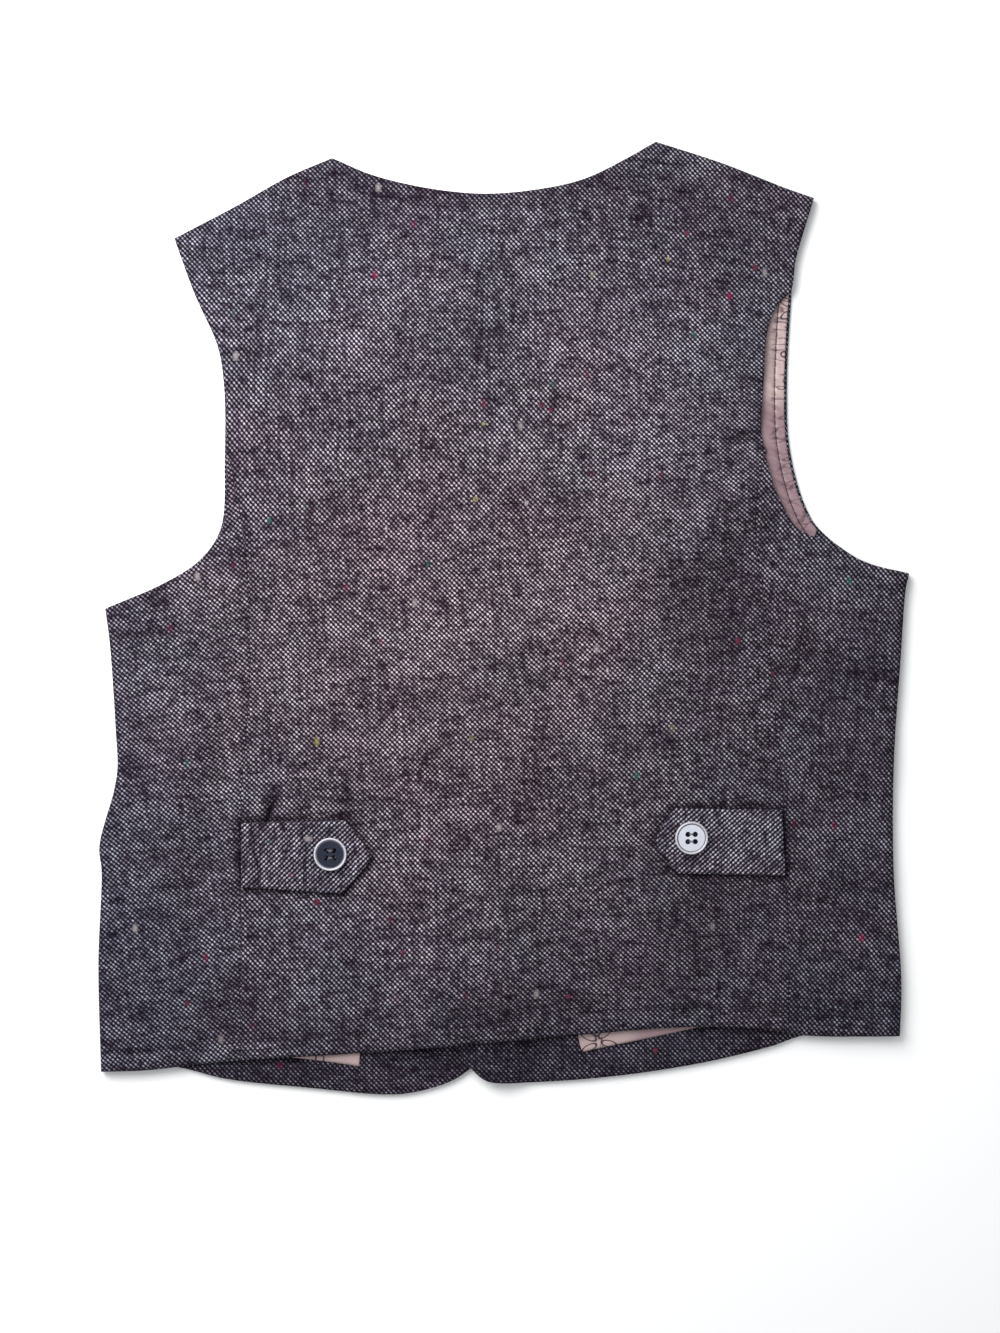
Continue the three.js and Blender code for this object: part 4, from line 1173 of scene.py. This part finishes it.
def addLining(side):
    look = liningSize
    mirrored = side == "Right"
    points, seamColumn, toHem, sideRows = lays[side]
    # Rows are drawn afresh between the turning and the facing seam
    seam = points[:, seamColumn]
    outer = points[:, -1] if mirrored else points[:, 0]
    inward = np.sign(seam[:, 0] - outer[:, 0])
    rowsUp = np.arange(len(outer))
    onArmhole = smooth(sideRows, sideRows + look["turningRows"], rowsUp)
    turning = cloth["turning"] + (cloth["armholeTurning"] - cloth["turning"]) * onArmhole
    if mirrored:
        # Below its curve the armhole is faced with a wider roll of tweed
        wide = smooth(*look["wideFrom"], outer[:, 0]) * (1 - smooth(*look["wideTo"], outer[:, 0]))
        turning = turning + look["wideTurning"] * wide * (rowsUp > sideRows)
    start = outer.copy()
    start[:, 0] += inward * turning
    bandRow = int(np.argmax(toHem[:, seamColumn] > cloth["hemBandAtFacing"] + cloth["gap"]))
    rows = slice(bandRow, len(outer) - look["rowsFree"])
    lowSide = np.interp(cloth["hemBandAtSide"][side] + cloth["gap"], reach(outer), rowsUp)
    shift = np.linspace(lowSide - bandRow, 0, look["rowsAtHem"])
    pick = rowsUp[rows].astype(float)
    pick[: len(shift)] += shift[: len(pick)]
    start = finerRows(start, pick)
    end = seam[rows] - np.array([1.0, 0]) * inward[rows][:, None] * cloth["gap"]
    # twice as many rows as the front has, for the gathers
    finer = np.arange(0, len(start) - 0.99, 0.5)
    start, end = finerRows(start, finer), finerRows(end, finer)
    # Columns stand close together beside the armhole, where the gathers are
    width = look["width"]
    near = np.arange(*look["columns"])
    far = np.linspace(look["otherFrom"], width - rimInsets[-1], look["otherColumns"])[:-1]
    s = np.concatenate([rimInsets, near, far, width - rimInsets[::-1]]) / width
    grid = start[:, None] + (end - start)[:, None] * s[None, :, None]
    # The lower edge follows the top of the hem turning
    hemY = readLine(lines[f"frontHem{side}"])
    low = grid[0]
    wanted = hemY(low[:, 0]) + bandOf(side, (1 - s) * look["bandReach"]) + look["overBand"]
    fade = (1 - np.linspace(0, 1, len(grid))) ** frontLook["hemFade"]
    grid[..., 1] += fade[:, None] * (wanted - low[:, 1])
    if mirrored:
        grid = grid[:, ::-1]
    base = frontUnder[side](grid) + cloth["frontWall"] + cloth["gap"]
    toBorder = distanceTo(grid, borderOf(grid))
    rim = rimShare(toBorder)
    toArmhole, alongArmhole = nearest(grid, lines[f"frontArmhole{side}"])
    along = (grid[..., 1] + look["slant"] * grid[..., 0]) * 2 * math.pi
    # Small gathers pulled up by the understitching beside the armhole
    height, length, phase = look["swell"]
    gathers = height * np.sin(along / length + phase)
    depth, sharpness = look["gatherShape"]
    for length, phase in look["gathers"]:
        gathers -= depth * np.clip(np.sin(along / length + phase), 0, 1) ** sharpness
    bandAt, bandWidth = look["gathered"]
    band = bell(toArmhole - bandAt, bandWidth)
    depth, grooveWidth = look["stitchGroove"]
    groove = bell(toArmhole - look["stitchInset"], grooveWidth)
    relief = look["gather"] * gathers * band - depth * groove
    share, finer = look["crumple"]
    relief = relief + share * rumple(grid[..., 0] * finer, grid[..., 1] * finer)
    top = base + cloth["liningWall"] - look["rimDrop"] * rim + relief * smooth(0.3, 2.0, toBorder)
    lower = base + cloth["thinRimLift"] * rim
    # Painted shade: darker under the arm and below it, at the hem and in the gap there, and in the troughs
    # of the gathers
    x, y = grid[..., 0], grid[..., 1]
    liningShade, fades = look["liningShade"], look["liningShadeFades"]
    shadeAndTone = liningShade["arm"] * smooth(*fades["arm"], y) + liningShade["low"] * smooth(*fades["low"], y)
    shadeAndTone = shadeAndTone * smooth(*fades["end"], y)
    nearHem = smooth(*fades["hem"], y)
    shadeAndTone = shadeAndTone + liningShade["hem"] * nearHem + liningShade["gap"] * smooth(*look["gapFrom"], x) * nearHem
    shadeAndTone = np.clip(shadeAndTone - liningShade["gathers"] * gathers * band, 0, 0.9)
    grain = turned(look["grain"], look["shift"])
    name, node, edge = f"lining{side}", f"lining_{side.lower()}", (alongArmhole, toArmhole)
    piece = clothPiece(name, grid, lower, top, grain, lining, node, shadeAndTone, edge=edge)


for side in lays:
    addLining(side)
print("linings made")

# Back: centre panel and two side panels, with the shape of the tabs that lie on them

tabLook = {
    "Left": {
        "end": ((-140.3, -143.6), (-140.3, -109.2)),
        "corners": ((-86.4, -147.0), (-85.0, -107.9)),
        "tip": (-69.2, -127.4),
        "button": (-92.6, -125.7),
        "buttonTilt": (0.5, -0.5),  # degrees about x and y
        "grain": 91.5,
        "shift": (475.4, 527.4),
        "step": ((-134.6, -108), (-130.4, -146), 1.5),  # the turning inside ends here and shows
        # share of painted shade along the step
        "stepShade": 0.7,
        "curlFrom": (-120, -140),
    },
    "Right": {
        "end": ((150.0, -137.3), (148.3, -102.3)),
        "corners": ((92.7, -136.2), (90.5, -101.3)),
        "tip": (79.4, -118.7),
        "button": (99.6, -116.8),
        "buttonTilt": (5.2, 5.2),
        "grain": 88.0,
        "shift": (500.0, 500.0),
        "step": ((138.5, -102), (140.0, -138), 1.7),
        "stepShade": 0.4,
        "curlFrom": (-110, -130),
    },
}
tabOutlines = []
for look in tabLook.values():
    (lowEnd, highEnd), (lowCorner, highCorner) = look["end"], look["corners"]
    tabOutlines.append(np.array([highEnd, lowEnd, lowCorner, look["tip"], highCorner, highEnd], float))

backLook = {
    "step": 2.25,  # mm between points
    "neckTurning": 8.0,  # the pressed turning shows as a low ridge beside these edges
    "hemTurning": 10.5,
    "turningHeight": 0.42,
    "turningEnd": (1.0, 1.2),  # it slopes off from this far inside its edge to this far beyond
    "turningDip": (0.3, 1.5),  # depth and width of the dip beside it
    "seamPucker": 0.16,
    "puckerReach": 7,
    "puckerLengths": (11.0, 7.3),
    "rimLift": 0.55,
    "sideWidth": 76,
    "sideGrain": {"Left": 7, "Right": -4},
}
# Painted shade beside the back's rims, seams, tab outlines, hem and neck turnings: its share, and how wide
# it is
backEdgeShade = {
    "rim": (0.28, 1.6),
    "seam": (0.12, 1.6),
    "tab": (0.8, 2.3),
    "hem": (0.8, 1.5),
    "neck": (0.22, 1.5),
}
neckShade = 0.16  # painted shade over the whole neck turning
creaseShade = (0.42, 0.7)  # painted shade in creases: for each mm of depth, and the most there is


def backHeights(points, border, seamLines, joinedLines):
    x, y = points[..., 0], points[..., 1]
    base = backUnder(points) + rumple(x, y) + creaseHeight(points, puckers)
    pinched = cloth["frontWall"] + cloth["edgeRise"] + cloth["gap"]
    toJoin = distanceTo(points, *joinedLines)
    roll = np.sqrt(1 - (1 - np.clip(toJoin / cloth["seamPinch"], 0, 1)) ** 2)
    base = pinched + (base - pinched) * roll
    # Seams sink a little and pucker
    toSeam = distanceTo(points, *seamLines)
    longer, shorter = backLook["puckerLengths"]
    pucker = np.sin(y * 2 * math.pi / longer) + np.sin(y * 2 * math.pi / shorter + 1)
    base = base + backLook["seamPucker"] * pucker * bell(toSeam, backLook["puckerReach"])
    # Pressed turnings
    toHem = distanceTo(points, lines["backHem"])
    toNeck = distanceTo(points, lines["neckline"])
    turnedIn = np.zeros_like(x)
    inside, beyond = backLook["turningEnd"]
    dipDepth, dipWidth = backLook["turningDip"]
    for distance, width in ((toHem, backLook["hemTurning"]), (toNeck, backLook["neckTurning"])):
        shelf = 1 - smooth(width - inside, width + beyond, distance)
        dip = bell(distance - width - beyond, dipWidth)
        turnedIn = turnedIn + backLook["turningHeight"] * shelf - dipDepth * dip
    toRim = distanceTo(points, border)
    rim = rimShare(toRim)
    atSeam = 1 - smooth(0.5, 2.5, toSeam)
    drop = cloth["rimDrop"] + (cloth["seamDrop"] - cloth["rimDrop"]) * atSeam
    upper = base + cloth["backWall"] + turnedIn * smooth(0, 1.5, toRim) - drop * rim
    # The tabs are stitched down hard, so the cloth sinks in a line round them
    toTab = distanceTo(points, *tabOutlines)
    upper = upper - cloth["tabGroove"] * bell(toTab, cloth["tabGrooveWidth"])
    return base + backLook["rimLift"] * rim, upper


# Painted shade at the back's rims, seams, tab outlines, turnings and creases, over patches of painted light
# and shade mixed with the cloth's own tone
def backShadeAndTone(points, border, seamLines):
    toSeam = distanceTo(points, *seamLines)
    toHem, alongHem = nearest(points, lines["backHem"])
    toNeck = distanceTo(points, lines["neckline"])
    # painted shade in a line just beyond the edge of a turning
    away = {
        "rim": distanceTo(points, border),
        "seam": toSeam,
        "tab": distanceTo(points, *tabOutlines),
        "hem": toHem - backLook["hemTurning"] - 0.6,
        "neck": toNeck - backLook["neckTurning"] - 0.6,
    }
    edgeShade = {name: share * bell(away[name], width) for name, (share, width) in backEdgeShade.items()}
    edgeShade["rim"] = edgeShade["rim"] * smooth(0.5, 3, toSeam)
    # uneven along the hem
    edgeShade["hem"] = edgeShade["hem"] * (0.55 + 0.45 * np.sin(alongHem / 23 + 0.5) * np.sin(alongHem / 41 + 1.0))
    atNeck = neckShade * (1 - smooth(7, 9, toNeck)) + edgeShade.pop("neck")
    perDepth, most = creaseShade
    inCrease = np.zeros_like(toSeam)
    for start, end, width, height in puckers.values():
        toCrease = distanceTo(points, np.array([start, end], float))
        inCrease += np.clip(-perDepth * height, 0, most) * bell(toCrease, width)
    atEdges = np.maximum.reduce([*edgeShade.values(), inCrease])
    return np.clip(patchTotal(points, lightAndTonePatches) + atNeck + atEdges, -0.4, 0.9)


def topOfBack(x):
    left, right = outline["neckline"][0][0], outline["neckline"][-1][0]
    shoulders = np.where(x < left, readLine(lines["shoulderLeft"])(x), readLine(lines["shoulderRight"])(x))
    return np.where((x < left) | (x > right), shoulders, readLine(lines["neckline"])(x))


def backPiece(name, node, points, seamLines, joinedLines, grain):
    under, upper = backHeights(points, borderOf(points), seamLines, joinedLines)
    shadeAndTone = backShadeAndTone(points, borderOf(points), seamLines)
    return clothPiece(name, points, under, upper, grain, tweed, node, shadeAndTone, patchTotal(points, coolPatches))


def addCentreBack():
    step = backLook["step"]
    sides = []
    seamCount = int(reach(lines["seamLeft"])[-1] / step)
    armCount = int(reach(lines["backArmholeLeftHigh"])[-1] / step)
    for side, shift in (("Left", cloth["seamOpening"] / 2), ("Right", -cloth["seamOpening"] / 2)):
        seam = lines[f"seam{side}"] + np.array([shift, 0])
        arm = np.vstack([seam[-1], lines[f"backArmhole{side}High"]])
        low = placesAt(seam, spread(reach(seam)[-1], seamCount, atEnd=False))
        high = placesAt(arm, spread(reach(arm)[-1], armCount, atStart=False))
        sides.append(joinLines(low, high))
    left, right = sides
    tips = outline["shoulderLeft"][0][0], outline["shoulderRight"][-1][0]
    necks = outline["neckline"][0][0], outline["neckline"][-1][0]
    stops = [tips[0], necks[0], necks[1], tips[1]]
    counts = [int(abs(b - a) / step) for a, b in zip(stops, stops[1:])]
    atTop = np.concatenate(
        [np.linspace(a, b, n, endpoint=False) for a, b, n in zip(stops, stops[1:], counts)] + [[tips[1]]]
    )
    atTop = (atTop - tips[0]) / (tips[1] - tips[0])
    even = np.linspace(0, 1, len(atTop))
    rowCount = len(left)

    def columnsAt(row, width):
        share = row / (rowCount - 1)
        inner = width * (even + (atTop - even) * share)
        return np.concatenate([rimInsets[:-1], inner[1:-1], width - rimInsets[:-1][::-1]])

    points = layOut(left, right, readLine(lines["backHem"]), topOfBack, columnsAt)
    seams = [lines["seamLeft"], lines["seamRight"]]
    shoulders = [lines["shoulderLeft"], lines["shoulderRight"]]
    return backPiece("backCentre", "back_centre", points, seams, shoulders, centreGrain), points


def addSideBack(side):
    mirrored = side == "Right"
    step = backLook["step"]
    seam = lines[f"seam{side}"] + np.array([cloth["seamOpening"] / 2 * (1 if mirrored else -1), 0])
    sideLine, arm = lines[f"side{side}"], lines[f"backArmhole{side}Low"]
    lowCount, highCount = int(reach(sideLine)[-1] / step), int(reach(arm)[-1] / step)
    outer = joinLines(
        placesAt(sideLine, spread(reach(sideLine)[-1], lowCount, atEnd=False)),
        placesAt(arm, spread(reach(arm)[-1], highCount, atStart=False)),
    )
    inner = placesAt(seam, np.linspace(0, 1, len(outer)) * reach(seam)[-1])
    left, right = (inner, outer) if mirrored else (outer, inner)
    endY = readLine(np.vstack([left[-1], right[-1]]))
    columnCount = int(backLook["sideWidth"] / step)
    points = layOut(
        left, right, readLine(lines["backHem"]), endY, lambda row, width: spread(width, columnCount)
    )
    name, node, grain = f"backSide{side}", f"back_side_{side.lower()}", turned(backLook["sideGrain"][side])
    piece = backPiece(name, node, points, [lines[f"seam{side}"]], [sideLine], grain)


centre, centrePoints = addCentreBack()
for side in lays:
    addSideBack(side)
print("back panels made")

# Tabs

tabCut = {
    "halfRows": 22,
    "across": 36,  # mm
    "columns": 62,
    "bluntness": 0.05,  # of the turned point
    "stepDepth": 0.8,
    "stepWidth": 1.7,
    "lip": (0.25, 2.6, 1.6),  # height, distance from the edge and width
    "curl": 0.54,
    "curlReach": (40, 62),  # mm from the seam
    "rimDrop": 0.9,
    "rimLift": 0.45,
    # painted shade along the tab's rounded rims
    "rimShade": 0.3,
    "cool": 0.46,
}


def tabSurface(points):
    x, y = points[..., 0], points[..., 1]
    return backUnder(points) + rumple(x, y) + cloth["backWall"] + cloth["gap"]


def addTab(side, look):
    mirrored = side == "Right"
    lowEnd, highEnd = np.array(look["end"], float)
    lowCorner, highCorner = np.array(look["corners"], float)
    tip = np.array(look["tip"], float)
    endLine = np.vstack([lowEnd, highEnd])
    rimRows = rimInsets / tabCut["across"]
    share = np.concatenate([rimRows, np.linspace(rimRows[-1], 0.5, tabCut["halfRows"])[1:]])
    share = np.concatenate([share, 1 - share[-2::-1]])
    endSide = placesAt(endLine, share * reach(endLine)[-1])
    shareOnPoint = np.where(share <= 0.5, share * 2, (share - 0.5) * 2)
    lowArm = lowCorner + (tip - lowCorner) * shareOnPoint[:, None]
    highArm = tip + (highCorner - tip) * shareOnPoint[:, None]
    pointSide = np.where((share <= 0.5)[:, None], lowArm, highArm)
    inward = (lowCorner + highCorner) / 2 - tip
    blunt = bell(share - 0.5, 0.07) + 0.5 * bell(share - 0.5, 0.16)
    pointSide = pointSide + inward * tabCut["bluntness"] * blunt[:, None]
    left, right = (pointSide, endSide) if mirrored else (endSide, pointSide)
    lowFold, highFold = (readLine(np.vstack([left[k], right[k]])) for k in (0, -1))
    points = layOut(
        left, right, lowFold, highFold, lambda row, width: spread(width, tabCut["columns"])
    )
    toRim = distanceTo(points, borderOf(points))
    toEnd = distanceTo(points, endLine)
    under = tabSurface(points)
    # Pressed flat and a little proud at its folded edges, with a faint step where the turning ends
    stepLine = np.array(look["step"][:2], float)
    stepSide = np.sign(points[..., 0] - stepLine[0, 0]) * (-1 if mirrored else 1)
    toStep = distanceTo(points, stepLine) * stepSide
    stepDown = -tabCut["stepDepth"] * smooth(-look["step"][2], look["step"][2], toStep)
    uneven = 0.65 + 0.35 * np.sin(points[..., 1] / 3.1 + 0.6 * points[..., 0])
    rim = rimShare(toRim)
    # Painted shade along the step where the turning ends, and along the rounded rims
    shadeAndTone = look["stepShade"] * uneven * bell(toStep, tabCut["stepWidth"]) + tabCut["rimShade"] * rim
    lipHeight, lipInset, lipWidth = tabCut["lip"]
    lip = lipHeight * bell(toRim - lipInset, lipWidth)
    curl = tabCut["curl"] * smooth(*tabCut["curlReach"], toEnd) * smooth(*look["curlFrom"], points[..., 1])
    upper = under + cloth["tabWall"] + stepDown + lip + curl - tabCut["rimDrop"] * rim
    under = under + curl + tabCut["rimLift"] * rim
    name, node, grain = f"tab{side}", f"tab_{side.lower()}", turned(look["grain"], look["shift"])
    return clothPiece(name, points, under, upper, grain, litTabTweed, node, shadeAndTone, tabCut["cool"]), points


# Buttons and their threads

def lathe(profile, turns):
    # closed round solid from (radius, height) pairs that start and end on the axis
    angles = np.arange(turns) * 2 * math.pi / turns
    verts, rings = [], []
    for radius, height in profile:
        if radius == 0:
            rings.append([len(verts)] * turns)
            verts.append((0, 0, height))
        else:
            rings.append(list(range(len(verts), len(verts) + turns)))
            verts += [(radius * math.cos(a), radius * math.sin(a), height) for a in angles]
    faces = []
    for low, high in zip(rings, rings[1:]):
        for i in range(turns):
            j = (i + 1) % turns
            face = [low[i], low[j], high[j], high[i]]
            faces.append(list(dict.fromkeys(face)))
    return verts, faces


def buttonMesh(look):
    radius, height, dish, inner = look["radius"], look["height"], look["dish"], look["rimInner"]
    profile = [(0, 0), (radius - 1.3, 0), (radius - 0.45, 0.25), (radius - 0.08, 0.8), (radius, 1.4)]
    crown = (radius + inner) / 2
    half = (radius - inner) / 2
    for i in range(9):
        angle = math.pi * i / 8
        profile.append((crown + half * math.cos(angle), height - 0.45 + 0.45 * math.sin(angle)))
    # a turned groove inside the rim, then the gently dished face
    profile += [
        (inner - 0.10, dish - 0.12),
        (inner - 0.30, dish - 0.22),
        (inner - 0.50, dish - 0.10),
        (inner - 0.62, dish),
        (inner - 2.5, dish - 0.04),
        (3.6, dish - 0.10),
        (0, dish - 0.12),
    ]
    verts, faces = lathe(profile, 96)
    mesh = bpy.data.meshes.new("button")
    mesh.from_pydata((np.array(verts) * mm).tolist(), [], faces)
    return mesh


def tube(path, radius, sides=8):
    path = np.array(path, float)
    ahead = np.gradient(path, axis=0)
    ahead /= np.linalg.norm(ahead, axis=1)[:, None]
    up = np.array([0.0, 0.0, 1.0])
    verts, faces = [], []
    for place, along in zip(path, ahead):
        side = np.cross(along, up)
        side = side / np.linalg.norm(side) if np.linalg.norm(side) > 1e-6 else np.array([1.0, 0, 0])
        other = np.cross(side, along)
        for k in range(sides):
            angle = 2 * math.pi * k / sides
            verts.append(place + radius * (math.cos(angle) * side + math.sin(angle) * other))
    for ring in range(len(path) - 1):
        for k in range(sides):
            a, b = ring * sides + k, ring * sides + (k + 1) % sides
            faces.append([b, a, a + sides, b + sides])
    faces.append(list(range(sides)))
    faces.append([(len(path) - 1) * sides + k for k in range(sides)][::-1])
    return verts, faces


def joined(name, parts, material):
    verts, faces = [], []
    for partVerts, partFaces in parts:
        start = len(verts)
        verts += [tuple(float(c) * mm for c in vert) for vert in partVerts]
        faces += [[index + start for index in face] for face in partFaces]
    mesh = bpy.data.meshes.new(name)
    mesh.from_pydata(verts, [], faces)
    mesh.shade_smooth()
    mesh.materials.append(material)
    piece = bpy.data.objects.new(name, mesh)
    bpy.context.collection.objects.link(piece)
    return piece


def holePlaces(look):
    half = look["holePitch"] / 2
    return [(sx * half, sy * half) for sx in (-1, 1) for sy in (-1, 1)]


def addButton(name, node, place):
    look = buttonLook
    piece = bpy.data.objects.new(name, buttonMesh(look))
    bpy.context.collection.objects.link(piece)
    cutters = []
    for x, y in holePlaces(look):
        cutters.append(tube([(x, y, z) for z in (-1, 1, 4)], look["holeRadius"], 24))
    cutter = joined(f"{name}Cutter", cutters, buttonFace)
    cut = piece.modifiers.new("holes", "BOOLEAN")
    cut.object = cutter
    cut.operation = "DIFFERENCE"
    cut.solver = "EXACT"
    solid = bpy.data.meshes.new_from_object(piece.evaluated_get(bpy.context.evaluated_depsgraph_get()))
    piece.modifiers.clear()
    piece.data = solid
    bpy.data.objects.remove(cutter)
    solid.materials.clear()
    solid.materials.append(buttonFace)
    solid.shade_smooth()
    solid.set_sharp_from_angle(angle=math.radians(38))
    piece.matrix_world = place
    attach(piece, "root")
    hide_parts(node)

    half, dish = look["holePitch"] / 2, look["dish"]
    bars = []
    for y in (-half, half):
        for strand in look["strands"]:
            # up out of one hole, across the face and down the other
            path = [(-half + x, y + strand, dish + z) for x, z in look["climb"]]
            path += [(half - x, y + strand, dish + z) for x, z in look["climb"][::-1]]
            bars.append(tube(path, look["threadRadius"]))
    stitches = joined(f"{name}Thread", bars, thread)
    stitches.matrix_world = place
    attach(stitches, "root")
    return piece, stitches


for side, look in tabLook.items():
    tab, tabPoints = addTab(side, look)
    x, y = look["button"]
    away = buttonLook["seatReach"]
    spot = np.array([[x, y], [x + away, y], [x - away, y], [x, y + away], [x, y - away]], float)
    seat = float(tabSurface(spot[:, None]).max()) + cloth["tabWall"] + cloth["gap"] + buttonLook["seat"]
    tilt = Matrix.Rotation(math.radians(look["buttonTilt"][0]), 4, "X")
    tilt = tilt @ Matrix.Rotation(math.radians(look["buttonTilt"][1]), 4, "Y")
    place = Matrix.Translation((x * mm, y * mm, seat * mm)) @ tilt
    made = addButton(f"tabButton{side}", f"tab_button_{side.lower()}", place)

for i in range(closure["count"]):
    y = closure["topY"] - i * closure["spacing"]
    place = Matrix.Translation((closure["x"] * mm, y * mm, buttonLook["height"] * mm))
    addButton(f"frontButton{i + 1}", f"front_button_{i + 1}", place @ Matrix.Rotation(math.pi, 4, "X"))
print("tabs and buttons made")

# Understitching: a row of long stitches that holds the lining back from the armhole

stitchLook = {
    "length": 3.5,
    "gap": 0.4,
    "radius": 0.22,
    "startsAt": 14,  # mm along the armhole
    "leftFree": 24,
    "sunk": 0.42,
    "arch": 0.25,
}


def addUnderstitching(side):
    look = stitchLook
    line = lines[f"frontArmhole{side}"]
    inset = liningSize["stitchInset"] * (1 if side == "Left" else -1)
    ahead = np.gradient(line, axis=0)
    ahead /= np.hypot(*ahead.T)[:, None]
    line = line + inset * np.stack([ahead[:, 1], -ahead[:, 0]], 1)
    pitch = look["length"] + look["gap"]
    count = int((reach(line)[-1] - look["leftFree"]) / pitch)
    arch = look["arch"] * np.sin(np.linspace(0, math.pi, 5))
    bars = []
    for i in range(count):
        start = look["startsAt"] + i * pitch
        places = placesAt(line, start + np.linspace(0, look["length"], 5))
        top = frontUnder[side](places[:, None])[:, 0] + frontStack - look["sunk"]
        bars.append(tube(np.column_stack([places, top + arch]), look["radius"], 6))
    piece = joined(f"understitching{side}", bars, stitchThread)
    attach(piece, "root")


for side in lays:
    addUnderstitching(side)
print("understitching made")

# Nubs: bits of dyed wool spun into the yarn that stand up on the back

# colour, then places and radius in mm
nubLook = {
    "saffron": (
        "#857C50",
        [(-15.1, 63.3, 1.7), (-17.2, -63.8, 1.3), (-10.8, 103.8, 1.2), (87.5, 191.4, 1.2)],
    ),
    "teal": ("#1F5249", [(-125.1, 52.0, 1.5), (-40.2, 29.1, 1.3)]),
    "burgundy": (
        "#5F1531",
        [(19.7, 114.0, 1.4), (25.1, 111.2, 1.1), (133.9, 187.1, 1.8), (-100.0, -151.4, 1.9),
         (-53.5, -178.1, 1.7), (-61.0, -161.0, 1.2), (-169.4, -205.4, 1.5), (34.1, -202.1, 1.5),
         (124.8, -12.0, 1.6), (143.5, -29.7, 1.3), (97.6, 205.3, 1.2), (81.0, -231.0, 1.4)],
    ),
    "undyed": (
        "#A79E9F",
        [(-63.0, 48.0, 1.0), (55.3, -28.0, 1.1), (-98.0, 12.0, 0.9), (12.0, 61.5, 1.3)],
    ),
}


# share of the radius across and up, height in mm, unevenness, and points round
nubShape = {"reach": (0.95, 1.1), "height": 0.40, "uneven": 0.3, "turns": 12}


def addNubs(look):
    chance = np.random.default_rng(8)
    belly = [(math.cos(angle), 0.5 * math.sin(angle)) for angle in (-0.9, -0.3, 0.3, 0.9)]
    dotProfile = [(0, -0.5), *belly, (0, 0.5)]
    for name, (colour, places) in look.items():
        # Loose dyed fibre, carded and not twisted: a dull fuzzy dot
        material, tree, shader = startMaterial(f"{name} carded wool", Roughness=1.0)
        place = addNode(tree, "TexCoord").outputs["Object"]
        fibre = addNode(tree, "TexNoise", {"Vector": place, "Scale": 1100.0, "Detail": 3.0})
        shadow = addNode(
            tree, "MapRange", {"Value": fibre, "From Min": 0.42, "From Max": 0.58, "To Max": 0.75}
        )
        shadowed = {"Fac": shadow, "Color1": fromHex(colour), "Color2": fromHex("#1B171C")}
        mixed = addNode(tree, "MixRGB", shadowed)
        tree.links.new(mixed.outputs[0], shader.inputs["Base Color"])
        dots = []
        for x, y, size in places:
            spot = np.array([[[x, y]]], float)
            z = float((tabSurface(spot) + creaseHeight(spot, puckers))[0, 0]) - cloth["gap"]
            verts, faces = lathe(dotProfile, nubShape["turns"])
            uneven = nubShape["uneven"] * chance.uniform(-1, 1, (len(verts), 1))
            verts = np.array(verts, float) * (1 + uneven)
            verts *= (nubShape["reach"][0] * size, nubShape["reach"][1] * size, nubShape["height"])
            dots.append((verts + (x, y, z), faces))
        piece = joined(f"nubs{name.capitalize()}", dots, material)
        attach(piece, "root")


addNubs(nubLook)
print("nubs made")
